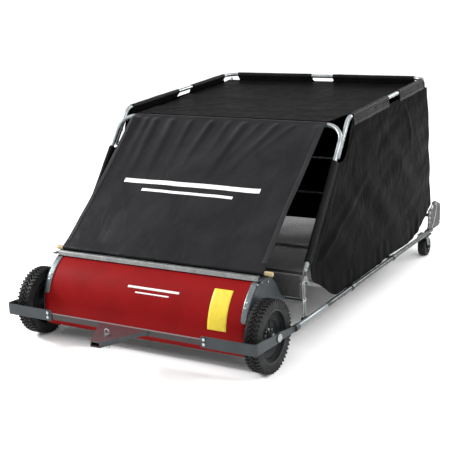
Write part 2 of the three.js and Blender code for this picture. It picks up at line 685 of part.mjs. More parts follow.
add('housing_shell', housingShell(), redPaint);
addPair('side_plate', sidePlate, greyPaint);
add('top_bar', topBar(), galvanised);
addPair('shell_strap', shellStrap, galvanised);
add('hitch_bar', hitchBar(), greyPaint);
addPair('hitch_arm', hitchArm, greyPaint);
add('hitch_tongue', hitchTongue(), greyPaint);
add('hitch_lower_plate', hitchLowerPlate(), greyPaint);
add('hitch_pin', hitchPin(), galvanised);
addPair('tyre', tyre, tyreRubber);
addPair('wheel_rim', wheelRim, blackPlastic);
addPair('ring_gear', ringGear, blackPlastic);
addPair('pinion', pinion, blackPlastic);
addPair('axle_bolt', axleBolt, galvanised);
add('brush_shaft', brushShaft(), blackSteel);
for (let row = 0; row < BRUSH.rows; row += 1) {
  add(`brush_row_${row + 1}`, brushRow(row), bristle);
}
addPair('rail_bracket', railBracket, greyPaint);
addPair('side_rail', sideRail, galvanised);
add('cross_tube_front', crossTube(CROSS_TUBES.front), galvanised);
add('cross_tube_rear', crossTube(CROSS_TUBES.rear), galvanised);
addPair('rear_bracket', rearBracket, brownSteel);
add('rear_cross_tube', rearCrossTube(), galvanised);
addPair('caster_mount', casterMount, blackSteel);
addPair('caster_fork', casterFork, galvanised);
addPair('caster_wheel', casterWheel, tyreRubber);
addPair('hopper_post', hopperPost, galvanised);
add('hinge_rod', hingeRod(), blackSteel);
add('lower_cross_rod', lowerCrossRod(), galvanised);
add('debris_flap', debrisFlap(), mesh);
add('front_bow', frontBow(), galvanised);
add('floor_front_rod', floorFrontRod(), galvanised);
add('top_frame', topFrame(), galvanised);
add('rear_frame', rearFrame(), galvanised);
addPair('bag_side', bagSide, fabric);
add('bag_back', bagBack(), fabric);
add('bag_floor', bagFloor(), mesh);
add('top_cover', topCover(), fabric);
add('wind_screen', windScreen(), fabric);
add('dowel', dowel(), dowelWood);

// Move the origin to the middle of the machine's footprint, on the ground.
const bounds = new THREE.Box3().setFromObject(assembly);
const middle = bounds.getCenter(new THREE.Vector3());
for (const part of assembly.children) {
  part.geometry.translate(-middle.x, -middle.y, -bounds.min.z);
}

export default assembly;
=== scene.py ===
"""A tow-behind lawn sweeper: its cloth, tyres, paint and lighting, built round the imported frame."""

import json
import math

import bmesh
import bpy
import numpy as np
from mathutils import Matrix, Vector


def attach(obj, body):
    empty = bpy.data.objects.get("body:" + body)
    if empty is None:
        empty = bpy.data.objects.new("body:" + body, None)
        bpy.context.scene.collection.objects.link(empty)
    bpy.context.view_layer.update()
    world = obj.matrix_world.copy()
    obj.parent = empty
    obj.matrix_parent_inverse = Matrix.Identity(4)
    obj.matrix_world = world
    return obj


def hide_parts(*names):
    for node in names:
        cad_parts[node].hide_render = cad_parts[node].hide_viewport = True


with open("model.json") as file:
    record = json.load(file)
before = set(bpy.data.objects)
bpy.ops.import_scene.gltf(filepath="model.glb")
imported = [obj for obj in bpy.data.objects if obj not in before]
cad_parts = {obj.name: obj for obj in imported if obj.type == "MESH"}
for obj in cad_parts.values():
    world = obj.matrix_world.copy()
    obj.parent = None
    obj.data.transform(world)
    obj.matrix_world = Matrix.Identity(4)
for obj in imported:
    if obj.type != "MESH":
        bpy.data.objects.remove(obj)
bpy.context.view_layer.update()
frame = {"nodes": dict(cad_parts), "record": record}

# ---- Driving dimensions in millimetres: y from the wheel axle, z from the ground ----
MM = 0.001  # in metres
SIDES = ((1, "left"), (-1, "right"))
SHIFT_Y = -835.0  # from the axle to the origin of the frame
CLOTH = 1.2
AXLE = (0.0, 152.4)
TYRE_RADIUS = 152.4
TYRE_X = 576.0
LUG_COUNT = 50
SHELL_CENTRE = (160.0, 150.0)
SHELL_RADIUS = 230.0
SHELL_ANGLES = (116.5, 200.5)
SHELL_HALF = 514
STRAP_X = 501.5
STRAP_HALF = 12.5
HITCH_ARM_X = 626.0
PIVOT = np.array([294.0, 332.0])
LEG_ANGLE = math.radians(52.4)
LEG = np.array([math.cos(LEG_ANGLE), math.sin(LEG_ANGLE)])
LEG_BACK = np.array([LEG[1], -LEG[0]])
BOW_TOP = PIVOT + 709.0 * LEG
LEG_X = 600.0
TUBE = 10.0
TOP_FRONT = np.array([774.0, 923.5])
TOP_REAR = np.array([1807.0, 981.0])
TOP_RUN = (TOP_REAR - TOP_FRONT) / np.linalg.norm(TOP_REAR - TOP_FRONT)
BAG_REAR_LOW = np.array([1868.0, 297.0])
BAG_X = 612.0
BAG_FRONT = 338.0
FLOOR_REAR = 1858
SCREEN_HALF = 519.0
DOWEL = np.array([99.0, 379.0])
DOWEL_RADIUS = 10.5
FLOOR_KNOTS = [(353, 278), (590, 176), (1223, 160), (1700, 194), (1858, 280)]
BRUSH = (AXLE[0] + 60 * math.cos(math.radians(-20)), AXLE[1] + 60 * math.sin(math.radians(-20)))
BRUSH_RADIUS = 115.0
POST_RODS = (271, 289)
POST_X = 603
RAIL = (620, 138)  # x and z of a side rail
CASTER = (1841.0, 50.0)
CASTER_X = 590


# ---- Mesh helpers ----
def metres(points):
    return (np.asarray(points, float).reshape(-1, 3) + (0, SHIFT_Y, 0)) * MM


def mesh_object(name, points, faces, material, uvs=None, smooth=True):
    mesh = bpy.data.meshes.new(name)
    mesh.from_pydata(metres(points).tolist(), [], [list(map(int, f)) for f in faces])
    if uvs is not None:
        layer = mesh.uv_layers.new(name="UVMap")
        corner = np.empty(len(mesh.loops), int)
        mesh.loops.foreach_get("vertex_index", corner)
        layer.data.foreach_set("uv", np.asarray(uvs, float)[corner].ravel())
    mesh.polygons.foreach_set("use_smooth", [smooth] * len(mesh.polygons))
    mesh.materials.append(material)
    mesh.update()
    obj = bpy.data.objects.new(name, mesh)
    bpy.context.collection.objects.link(obj)
    return obj


def outward(obj):
    """Turns every face of a closed mesh to face out."""
    shape = bmesh.new()
    shape.from_mesh(obj.data)
    bmesh.ops.recalc_face_normals(shape, faces=shape.faces)
    shape.to_mesh(obj.data)
    shape.free()
    return obj


def bevel(obj, width=0.6, segments=2):
    cut = obj.modifiers.new("edges", "BEVEL")
    cut.width = width * MM
    cut.segments = segments
    cut.limit_method = "ANGLE"
    cut.angle_limit = math.radians(38)
    cut.harden_normals = False
    return obj


def thicken(obj, thickness, offset=0):
    """Gives a sheet its thickness: half on each side of it, or all behind it where offset is -1."""
    solid = obj.modifiers.new("thickness", "SOLIDIFY")
    solid.thickness = thickness * MM
    solid.offset = offset
    return obj


def band(first, second, sides):
    """Faces between two rings of points, from each ring's first index."""
    after = [(j + 1) % sides for j in range(sides)]
    return [(first + j, first + k, second + k, second + j) for j, k in enumerate(after)]


def grid_faces(rows, columns):
    faces = []
    for i in range(rows - 1):
        faces += band(i * columns, (i + 1) * columns, columns)[:-1]
    return faces


def polar(centre, radius, angle):
    """The (y, z) at a radius and an angle, in radians, round a centre."""
    return centre[0] + radius * math.cos(angle), centre[1] + radius * math.sin(angle)


def cloth_sheet(name, points, size, material, thickness=CLOTH):
    """A sheet of cloth from a grid of points, rows by columns by 3; its UVs are in metres."""
    rows, columns = points.shape[:2]
    u, v = np.meshgrid(np.linspace(0, size[0], columns), np.linspace(0, size[1], rows))
    uvs = np.stack([u.ravel(), v.ravel()], axis=1)
    obj = mesh_object(name, points, grid_faces(rows, columns), material, uvs)
    return thicken(obj, thickness)


def swept(name, path, radius, material, sides=20, bore=0.0):
    """A round bar or tube along a path of points, with closed ends."""
    path = np.asarray(path, float)
    ahead = np.gradient(path, axis=0)
    ahead /= np.linalg.norm(ahead, axis=1, keepdims=True)
    side = np.cross((0.3, 0.2, 1.0), ahead[0])
    angles = np.linspace(0, 2 * math.pi, sides, endpoint=False)
    rings = []
    for centre, heading in zip(path, ahead):
        side = side - heading * side.dot(heading)
        side /= np.linalg.norm(side)
        other = np.cross(heading, side)
        ring = centre + radius * (np.cos(angles)[:, None] * side + np.sin(angles)[:, None] * other)
        rings.append(ring)
    points = np.concatenate(rings)
    last = (len(path) - 1) * sides
    faces = []
    for start in range(0, last, sides):
        faces += band(start, start + sides, sides)
    if bore:
        for start in (0, last):
            centre = points[start:start + sides].mean(axis=0)
            inner = centre + (points[start:start + sides] - centre) * bore / radius
            faces += band(start, len(points), sides)
            points = np.concatenate([points, inner])
        depth = len(points) - 2 * sides
        faces += band(depth, depth + sides, sides)
    else:
        faces += [tuple(range(sides))[::-1], tuple(range(last, last + sides))]
    return bevel(outward(mesh_object(name, points, faces, material)), 0.8)


def bent(corners, radius, steps=10):
    """A path through corner points with each inner corner turned into a circular bend."""
    corners = [np.asarray(c, float) for c in corners]
    path = [corners[0]]
    for before, corner, after in zip(corners, corners[1:], corners[2:]):
        back = (before - corner) / np.linalg.norm(before - corner)
        on = (after - corner) / np.linalg.norm(after - corner)
        half = math.acos(float(np.clip(back.dot(on), -1, 1))) / 2
        centre = corner + (back + on) / np.linalg.norm(back + on) * radius / math.sin(half)
        start = corner + back * radius / math.tan(half) - centre
        axis = Vector(np.cross(back, start))
        for k in range(steps + 1):
            turn = Matrix.Rotation((math.pi - 2 * half) * k / steps, 3, axis)
            path.append(centre + np.array(turn @ Vector(start)))
    path.append(corners[-1])
    return path


def spread(a, b, step):
    """Points from a to b, not more than one step apart."""
    a, b = np.asarray(a, float), np.asarray(b, float)
    count = max(2, int(np.linalg.norm(b - a) / step) + 1)
    return [a + (b - a) * t for t in np.linspace(0, 1, count)]


def lathe(name, profile, centre, material, segments=96):
    """A ring turned about a line along X; the profile is a closed loop of (radius, x)."""
    angles = np.linspace(0, 2 * math.pi, segments, endpoint=False)
    points = [(x, *polar(centre, r, a)) for a in angles for r, x in profile]
    count = len(profile)
    faces = []
    for i in range(segments):
        faces += band(i * count, (i + 1) % segments * count, count)
    return outward(mesh_object(name, points, faces, material))


def plate(name, outline, x0, x1, material):
    """A flat plate: an outline of (y, z) points pushed from x0 to x1."""
    count = len(outline)
    points = [(x0, y, z) for y, z in outline] + [(x1, y, z) for y, z in outline]
    faces = [tuple(range(count)), tuple(range(count, 2 * count))[::-1]]
    faces += band(0, count, count)
    obj = outward(mesh_object(name, points, faces, material, smooth=False))
    return bevel(obj, 0.7)


def arc(centre, radius, start, end, steps):
    return [polar(centre, radius, a) for a in np.radians(np.linspace(start, end, steps + 1))]


def stadium(a, b, radius):
    heading = math.degrees(math.atan2(b[1] - a[1], b[0] - a[0]))
    return arc(b, radius, heading - 90, heading + 90, 12) + arc(a, radius, heading + 90, heading + 270, 12)


def joined(name, *objects):
    """Several meshes as one object, with each one's modifiers applied first."""
    bpy.context.view_layer.update()
    graph = bpy.context.evaluated_depsgraph_get()
    whole = bmesh.new()
    materials = []
    for obj in objects:
        evaluated = obj.evaluated_get(graph)
        piece = bpy.data.meshes.new_from_object(evaluated)
        shift = len(materials)
        materials += list(piece.materials)
        for face in piece.polygons:
            face.material_index += shift
        whole.from_mesh(piece)
        bpy.data.meshes.remove(piece)
        bpy.data.objects.remove(obj)
    mesh = bpy.data.meshes.new(name)
    whole.to_mesh(mesh)
    whole.free()
    for material in materials:
        mesh.materials.append(material)
    result = bpy.data.objects.new(name, mesh)
    bpy.context.collection.objects.link(result)
    return result


def noise(u, v, seed):
    """A smooth random field from -1 to 1, with about one bump in each unit square."""
    size = 61
    lattice = np.random.default_rng(seed).uniform(-1, 1, (size, size))
    u, v = np.asarray(u, float), np.asarray(v, float)
    iu, iv = np.floor(u).astype(int), np.floor(v).astype(int)
    fu, fv = u - iu, v - iv
    fu, fv = fu * fu * (3 - 2 * fu), fv * fv * (3 - 2 * fv)
    corner = [[lattice[(iu + a) % size, (iv + b) % size] for b in (0, 1)] for a in (0, 1)]
    near = corner[0][0] * (1 - fu) + corner[1][0] * fu
    far = corner[0][1] * (1 - fu) + corner[1][1] * fu
    return near * (1 - fv) + far * fv


def smooth_step(x, low, high):
    t = np.clip((np.asarray(x, float) - low) / (high - low), 0, 1)
    return t * t * (3 - 2 * t)


def ridge(x, width):
    """A soft fold: 1 on its crest, falling off faster on one side than the other."""
    return np.exp(-np.where(x > 0, (x / (0.55 * width)) ** 2, (x / width) ** 2))


# ---- Materials ----
def linear(*colour):
    """A display colour, each channel from 0 to 255, as the linear colour that a shader takes."""
    channels = [((c / 255 + 0.055) / 1.055) ** 2.4 if c > 10 else c / 3295 for c in colour]
    return (*channels, 1.0)


class Surface:
    """A Principled material whose colour, roughness and bump come from node patterns."""

    def __init__(self, name, coords="Object", metallic=0.0, specular=0.5, coat=0.0):
        self.material = bpy.data.materials.new(name)
        self.material.use_nodes = True
        self.nodes = self.material.node_tree.nodes
        self.links = self.material.node_tree.links
        self.shader = self.nodes["Principled BSDF"]
        self.shader.inputs["Metallic"].default_value = metallic
        self.shader.inputs["Specular IOR Level"].default_value = specular
        self.shader.inputs["Coat Weight"].default_value = coat
        self.shader.inputs["Coat Roughness"].default_value = 0.12
        self.place = self.nodes.new("ShaderNodeTexCoord").outputs[coords]

    def node(self, kind, wires, **values):
        """A new node with some inputs wired to other outputs and some set to values."""
        made = self.nodes.new("ShaderNode" + kind)
        for socket, output in wires.items():
            self.links.new(output, made.inputs[socket])
        for socket, value in values.items():
            made.inputs[socket.replace("_", " ")].default_value = value
        return made

    def cloud(self, scale, detail=4.0, stretch=(1, 1, 1), distortion=0.0):
        place = self.node("Mapping", {"Vector": self.place}, Scale=stretch).outputs["Vector"]
        return self.node("TexNoise", {"Vector": place}, Scale=scale, Detail=detail,
                         Distortion=distortion).outputs["Fac"]

    def cells(self, scale):
        return self.node("TexVoronoi", {"Vector": self.place}, Scale=scale).outputs["Color"]

    def bands(self, pitch, direction="X", turn=0.0):
        """Parallel threads, one every pitch metres."""
        place = self.node("Mapping", {"Vector": self.place}, Rotation=(0, 0, turn)).outputs["Vector"]
        wave = self.node("TexWave", {"Vector": place}, Scale=2 * math.pi / (20 * pitch))
        wave.bands_direction = direction
        return wave.outputs["Fac"]

    def ranged(self, value, low, high, start=0.3, end=0.7):
        return self.node("MapRange", {"Value": value}, From_Min=start, From_Max=end, To_Min=low,
                         To_Max=high).outputs["Result"]

    def mask(self, value, start=0.3, end=0.7):
        return self.ranged(value, 0.0, 1.0, start, end)

    def blended(self, factor, first, second):
        """A mix of two colours, each an output or a tuple of red, green and blue from 0 to 255."""
        mix = self.node("Mix", {"Factor": factor})
        mix.data_type = "RGBA"
        colours = [s for s in mix.inputs if s.type == "RGBA"]
        for socket, value in zip(colours, (first, second)):
            if isinstance(value, tuple):
                socket.default_value = linear(*value)
            else:
                self.links.new(value, socket)
        return [s for s in mix.outputs if s.type == "RGBA"][0]

    def larger(self, first, second):
        node = self.nodes.new("ShaderNodeMath")
        node.operation = "MAXIMUM"
        self.links.new(first, node.inputs[0])
        self.links.new(second, node.inputs[1])
        return node.outputs["Value"]

    def colour(self, value):
        self.links.new(value, self.shader.inputs["Base Color"])

    def roughness(self, value):
        self.links.new(value, self.shader.inputs["Roughness"])

    def bumps(self, *layers):
        """Layers of (height, distance in metres, strength)."""
        normal = None
        for height, distance, strength in layers:
            wires = {"Height": height}
            if normal is not None:
                wires["Normal"] = normal
            normal = self.node("Bump", wires, Distance=distance, Strength=strength).outputs["Normal"]
        self.links.new(normal, self.shader.inputs["Normal"])


def shade(colour, share):
    """A colour with each channel multiplied by a share."""
    return tuple(share * c for c in colour)


def painted(name, base, dark, rough=(0.3, 0.45), specular=0.5):
    s = Surface(name, specular=specular)
    s.colour(s.blended(s.mask(s.cloud(9, 6), 0.42, 0.72), base, dark))
    s.roughness(s.ranged(s.cloud(30, 5), *rough))
    s.bumps((s.cloud(320, 1), 0.0001, 0.08), (s.cloud(9, 2), 0.002, 0.1))
    return s.material


def enamel_with_painted_top_light(name, base, top):
    """Enamel whose faces that point up take another colour, which is painted light: a painted highlight on
    the hitch bar and a painted reflection of the red housing on the tongue.
    """
    s = Surface(name, specular=0.4, coat=0.1)
    facing = s.nodes.new("ShaderNodeNewGeometry").outputs["Normal"]
    painted_light_facing = s.node("SeparateXYZ", {"Vector": facing}).outputs["Z"]
    body = s.blended(s.mask(s.cloud(14, 5), 0.4, 0.75), base, shade(base, 0.8))
    # Faces that point up take the top colour: painted light, not a colour of the enamel.
    s.colour(s.blended(s.mask(painted_light_facing, 0.7, 0.95), body, top))
    s.roughness(s.ranged(s.cloud(40, 4), 0.3, 0.45))
    s.bumps((s.cloud(300, 2), 0.0002, 0.1))
    return s.material


def galvanised(name, bright=(176, 181, 182), dull=(128, 134, 137), rough=(0.28, 0.46)):
    s = Surface(name, metallic=0.9)
    spangle = s.blended(s.mask(s.cells(140), 0.0, 1.0), bright, shade(bright, 0.88))
    s.colour(s.blended(s.mask(s.cloud(22, 6), 0.35, 0.75), spangle, dull))
    s.roughness(s.ranged(s.cloud(60, 5), *rough))
    s.bumps((s.cells(140), 0.0003, 0.1), (s.cloud(500, 3), 0.0003, 0.15))
    return s.material


def coated_cloth(name, base, worn, rough=(0.3, 0.42), specular=0.13):
    """Black woven polyester with a thin coating: weave, creases and a little dust."""
    s = Surface(name, coords="UV", specular=specular)
    threads = s.larger(s.bands(0.0011, "X"), s.bands(0.0011, "Y"))
    body = s.blended(s.mask(s.cloud(5, 7, distortion=0.6), 0.4, 0.8), base, worn)
    s.colour(s.blended(s.ranged(threads, 0.0, 0.25, 0.0, 1.0), body, worn))
    s.roughness(s.ranged(s.cloud(18, 5), *rough))
    creases = s.cloud(7, 4, distortion=1.6)
    s.bumps((creases, 0.012, 0.4), (s.cloud(38, 3), 0.0012, 0.25), (threads, 0.0003, 0.15))
    return s.material


def open_mesh(name, base, worn, pitch=0.0075, hole=0.5):
    """Coated mesh cloth: crossed cords with holes between them, the holes darker as painted shade."""
    s = Surface(name, coords="UV", specular=0.1)
    cords = s.larger(s.bands(pitch, "X", math.radians(45)), s.bands(pitch, "X", math.radians(-45)))
    cord_colour = s.blended(s.mask(s.cloud(6, 6), 0.35, 0.75), base, worn)
    # The holes take the base colour at a 0.4 share: painted shade seen through the mesh.
    s.colour(s.blended(s.mask(cords, 0.6, 0.85), shade(base, 0.4), cord_colour))
    s.roughness(s.ranged(s.cloud(40, 3), 0.5, 0.7))
    s.bumps((cords, 0.0008, 0.6))
    s.links.new(s.ranged(cords, 1 - hole, 1.0, 0.55, 0.75), s.shader.inputs["Alpha"])
    return s.material


def rubber(name, base, dusty, rough=(0.55, 0.75)):
    s = Surface(name, specular=0.25)
    s.colour(s.blended(s.mask(s.cloud(16, 7, distortion=0.4), 0.48, 0.85), base, dusty))
    s.roughness(s.ranged(s.cloud(35, 5), *rough))
    s.bumps((s.cloud(420, 3), 0.0004, 0.3), (s.cloud(40, 3), 0.001, 0.15))
    return s.material


def moulded(name, base, worn):
    s = Surface(name, specular=0.22)
    s.colour(s.blended(s.mask(s.cloud(28, 7), 0.5, 0.85), base, worn))
    s.roughness(s.ranged(s.cloud(50, 4), 0.42, 0.6))
    s.bumps((s.cloud(700, 2), 0.0002, 0.3))
    return s.material


def wood(name):
    s = Surface(name, specular=0.3)
    grain = s.cloud(60, 6, stretch=(0.06, 1, 1), distortion=0.3)
    s.colour(s.blended(s.mask(grain), (186, 172, 134), (140, 120, 84)))
    s.roughness(s.ranged(grain, 0.55, 0.75))
    s.bumps((grain, 0.0006, 0.4))
    return s.material


def vinyl(name, base, worn):
    s = Surface(name, specular=0.5)
    s.colour(s.blended(s.mask(s.cloud(35, 5), 0.5, 0.8), base, worn))
    s.roughness(s.ranged(s.cloud(50, 3), 0.32, 0.45))
    s.bumps((s.cloud(180, 2), 0.0003, 0.1))
    return s.material


def stage_floor():
    s = Surface("studio_floor", specular=0.1)
    s.colour(s.blended(s.cloud(0.4, 2), (250, 250, 250), (253, 253, 253)))
    s.shader.inputs["Roughness"].default_value = 0.9
    return s.material


RED = painted("red_enamel", (126, 17, 18), (116, 15, 16), rough=(0.4, 0.5), specular=0.04)
GREY = painted("grey_enamel", (46, 53, 57), (36, 42, 45), rough=(0.34, 0.48), specular=0.35)
# The hitch bar's brownish body is its grey enamel with a painted reflection of the red housing, and its top
# colour is a painted highlight.
BAR_ENAMEL_PAINTED_LIGHT = enamel_with_painted_top_light("hitch_bar_painted_light_enamel", (46, 34, 36), (112, 108, 108))
# The tongue's grey body is its own enamel; its reddish top colour is a painted reflection of the red housing.
TONGUE_ENAMEL_PAINTED_REFLECTION = enamel_with_painted_top_light("hitch_tongue_painted_reflection_enamel", (46, 53, 57), (62, 38, 41))
BLACK = painted("black_enamel", (30, 31, 33), (46, 47, 48), rough=(0.35, 0.55))
BROWN = painted("brown_grey_steel", (48, 46, 44), (30, 29, 28), rough=(0.3, 0.5), specular=0.2)
ZINC = galvanised("zinc_plate")
ZINC_MID = galvanised("zinc_plate_mid", (142, 144, 144), (112, 114, 114), (0.3, 0.44))
ZINC_STRAP = galvanised("zinc_strap", (116, 126, 128), (94, 103, 105), (0.3, 0.42))
ZINC_RAIL = galvanised("zinc_rail", (146, 152, 154), (130, 136, 138), (0.32, 0.42))
ZINC_DARK = galvanised("zinc_plate_dark", (84, 89, 90), (58, 62, 63), (0.2, 0.36))
CLOTH_BLACK = coated_cloth("black_cloth", (23, 23, 25), (38, 38, 40), rough=(0.25, 0.36), specular=0.08)
CLOTH_WALL = coated_cloth("black_wall_cloth", (9, 9, 10), (19, 19, 20), rough=(0.26, 0.36), specular=0.005)
CLOTH_COVER = coated_cloth("black_cover_cloth", (11, 11, 12), (21, 21, 22), rough=(0.3, 0.4), specular=0.003)
CLOTH_SLEEVE = coated_cloth("black_sleeve_cloth", (17, 17, 18), (30, 30, 31), specular=0.04)
# A lighter copy of the black cloth for the screen's hems: a painted highlight along the screen's side edges.
CLOTH_PAINTED_HIGHLIGHT = coated_cloth("hem_cloth_painted_highlight", (30, 31, 33), (48, 49, 51), rough=(0.28, 0.4), specular=0.1)
CLOTH_DARK = coated_cloth("black_lining_cloth", (18, 18, 19), (28, 28, 29), rough=(0.6, 0.8), specular=0.1)
# Lit and shaded copies of one hopper mesh, which paint light: the painted-lit copy covers the rear of the
# floor, the painted-shade copy its front, and both take light bases that stand in for light inside the
# hopper.
MESH_PAINTED_LIT = open_mesh("hopper_net_painted_lit", (158, 158, 156), (178, 178, 175), pitch=0.011, hole=0.8)
MESH_PAINTED_SHADE = open_mesh("hopper_net_painted_shade", (186, 186, 186), (206, 206, 204), pitch=0.011, hole=0.7)
MESH_FLAP = open_mesh("flap_mesh", (78, 78, 78), (98, 98, 97), hole=0.5)
RUBBER = rubber("tyre_rubber", (20, 21, 22), (44, 45, 45))
BEAD_RUBBER = rubber("bead_rubber", (58, 60, 62), (84, 86, 88), rough=(0.35, 0.5))
TREAD = rubber("tread_rubber", (17, 17, 18), (40, 40, 39), rough=(0.42, 0.6))
PLASTIC = moulded("black_plastic", (19, 20, 22), (32, 33, 35))
BRISTLES = moulded("bristle_nylon", (22, 22, 23), (40, 40, 41))
WOOD = wood("dowel_wood")
WHITE_VINYL = vinyl("white_print", (226, 226, 224), (196, 196, 192))
BRIGHT = galvanised("zinc_fastener", (206, 208, 208), (160, 163, 164), (0.22, 0.34))
YELLOW_VINYL = vinyl("yellow_label", (214, 192, 48), (196, 168, 38))


# ---- Carried-over CAD nodes ----
def finish_cad_nodes():
    # The CAD mesh slot takes the painted-shade copy of the hopper mesh.
    finishes = {
        "red_paint": RED, "grey_paint": GREY, "galvanised": ZINC, "black_steel": BLACK,
        "brown_steel": BROWN, "tyre_rubber": RUBBER, "black_plastic": PLASTIC, "bristle": BRISTLES,
        "fabric": CLOTH_BLACK, "mesh": MESH_PAINTED_SHADE, "dowel_wood": WOOD,
    }
    # The hitch bar, tongue and lower plate take enamels with painted light on their faces that point up.
    special = {"hitch_bar": BAR_ENAMEL_PAINTED_LIGHT, "hitch_tongue": TONGUE_ENAMEL_PAINTED_REFLECTION, "hitch_lower_plate": TONGUE_ENAMEL_PAINTED_REFLECTION}
    for name in ("top_bar", "shell_strap_left", "shell_strap_right"):
        special[name] = ZINC_MID
    dark_zinc = ("cross_tube_front", "cross_tube_rear", "rear_cross_tube", "caster_fork_left",
                 "caster_fork_right", "lower_cross_rod")
    for name in dark_zinc:
        special[name] = ZINC_DARK
    for part in frame["record"]["subparts"]:
        obj = frame["nodes"][part["node"]]
        obj.data.materials.clear()
        obj.data.materials.append(special.get(part["node"], finishes[part["material_slot"]]))
        obj.data.polygons.foreach_set("use_smooth", [False] * len(obj.data.polygons))
        bevel(obj, 0.5)


# ---- Brush housing ----
def shell_point(x, radius, degrees):
    return (x, *polar(SHELL_CENTRE, radius, math.radians(degrees)))


def housing_shell():
    rows, columns = 64, 42
    across = np.linspace(-SHELL_HALF, SHELL_HALF, columns)
    points = [[shell_point(x, SHELL_RADIUS - 1, a) for x in across] for a in np.linspace(*SHELL_ANGLES, rows)]
    sheet = mesh_object("shell_sheet", np.array(points), grid_faces(rows, columns), RED)
    thicken(sheet, 2)
    hem_half, hem_place = SHELL_HALF - 1, (SHELL_RADIUS - 2, SHELL_ANGLES[1] - 0.1)
    hem_path = spread(shell_point(-hem_half, *hem_place), shell_point(hem_half, *hem_place), 60)
    hem = swept("shell_hem", hem_path, 3.0, RED, 12)
    shell = joined("housing_shell_smooth", sheet, hem)
    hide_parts("housing_shell")
    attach(shell, "chassis")


def shell_patch(name, edges, centre_x, centre_angle, material):
    """A rectangular sticker laid on the housing's curve, from its edges round its centre."""
    left, right, top, bottom = edges
    across = np.linspace(left, right, max(2, int((right - left) / 8)))
    down = np.linspace(top, bottom, max(3, int((bottom - top) / 4)))
    points = []
    for d in down:
        degrees = centre_angle + math.degrees(d / SHELL_RADIUS)
        points += [shell_point(centre_x + a, SHELL_RADIUS + 0.9, degrees) for a in across]
    sticker = thicken(mesh_object(name, points, grid_faces(len(down), len(across)), material), 0.3)
    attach(sticker, "chassis")


def shell_straps():
    rows, columns = 40, 7
    for side, end in SIDES:
        points = []
        for degrees in np.linspace(118.0, 164.5, rows):
            rounding = max(0.0, (degrees - 161.0) / 3.5)
            half = STRAP_HALF * math.sqrt(max(0.0, 1 - rounding * rounding)) + 0.2
            points.append([shell_point(side * STRAP_X + w * half, SHELL_RADIUS + 1.6, degrees)
                           for w in np.linspace(-1, 1, columns)])
        strap = mesh_object("strap_sheet", np.array(points), grid_faces(rows, columns), ZINC_STRAP)
        thicken(strap, 2.2, offset=-1)
        bolts = []
        for degrees in (143, 149):
            foot, seat, head = (shell_point(side * STRAP_X, SHELL_RADIUS + rise, degrees)
                                for rise in (2, 3.4, 6.5))
            bolts.append(swept("washer", [foot, seat], 7.5, ZINC, 24))
            bolts.append(swept("head", [seat, head], 5.6, ZINC, 6))
        piece = joined(f"shell_strap_{end}_rounded", strap, *bolts)
        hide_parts(f"shell_strap_{end}")
        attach(piece, "chassis")


# ---- Wheels ----
def tread_block(x0, x1, start0, start1, width, low, high):
    """One lug: it runs from x0 to x1 across the tyre while its start angle moves from start0 to start1."""
    corners = []
    for radius, inset in ((low, 0.0), (high, 0.12)):
        for x, start in ((x0, start0), (x1, start1)):
            for part in (inset, 1 - inset):
                corners.append((x, *polar(AXLE, radius, start + width * part)))
    faces = [(0, 1, 3, 2), (4, 6, 7, 5), (0, 4, 5, 1), (2, 3, 7, 6), (0, 2, 6, 4), (1, 5, 7, 3)]
    return corners, faces


def tyre(side, end):
    middle = side * TYRE_X
    inner = [(108.3, -28), (112, -29.2), (124, -30), (136, -30), (144, -29.6),
             (147.4, -27), (147.2, -20), (145.4, -14)]
    profile = inner + [(145.2, 0)] + [(r, -x) for r, x in reversed(inner)]
    carcass = lathe("carcass", [(r, middle + x) for r, x in profile], AXLE, RUBBER, 120)
    bead_radius = 1.6
    bead_ring = [(109.5 + bead_radius * math.cos(t), middle + side * (28.6 + bead_radius * math.sin(t)))
                 for t in np.linspace(0, 2 * math.pi, 8, endpoint=False)]
    bead = lathe("bead", bead_ring, AXLE, BEAD_RUBBER, 120)
    crown = (141.0, TYRE_RADIUS - 0.1)
    shoulder = (138.0, TYRE_RADIUS - 1)
    lugs = [(0.8, 12.6, 0.0, 0.7, 0.42, crown), (14.4, 24, 0.7, 0.42, 0.5, crown),
            (24, 31.4, 0.42, 0.42, 0.52, shoulder)]
    points, faces = [], []
    pitch = 2 * math.pi / LUG_COUNT
    for i in range(LUG_COUNT):
        for half, lag in ((1, 0.0), (-1, 0.5)):
            for x0, x1, s0, s1, width, heights in lugs:
                start0, start1 = i * pitch + (s0 + lag) * pitch, i * pitch + (s1 + lag) * pitch
                corners, quads = tread_block(middle + half * x0, middle + half * x1, start0, start1,
                                             width * pitch, *heights)
                base = len(points)
                points += corners
                faces += [tuple(base + k for k in quad) for quad in quads]
    tread = outward(mesh_object("lugs", points, faces, TREAD, smooth=False))
    piece = joined(f"tyre_{end}_treaded", carcass, bead, tread)
    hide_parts(f"tyre_{end}")
    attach(piece, f"wheel_{end}")


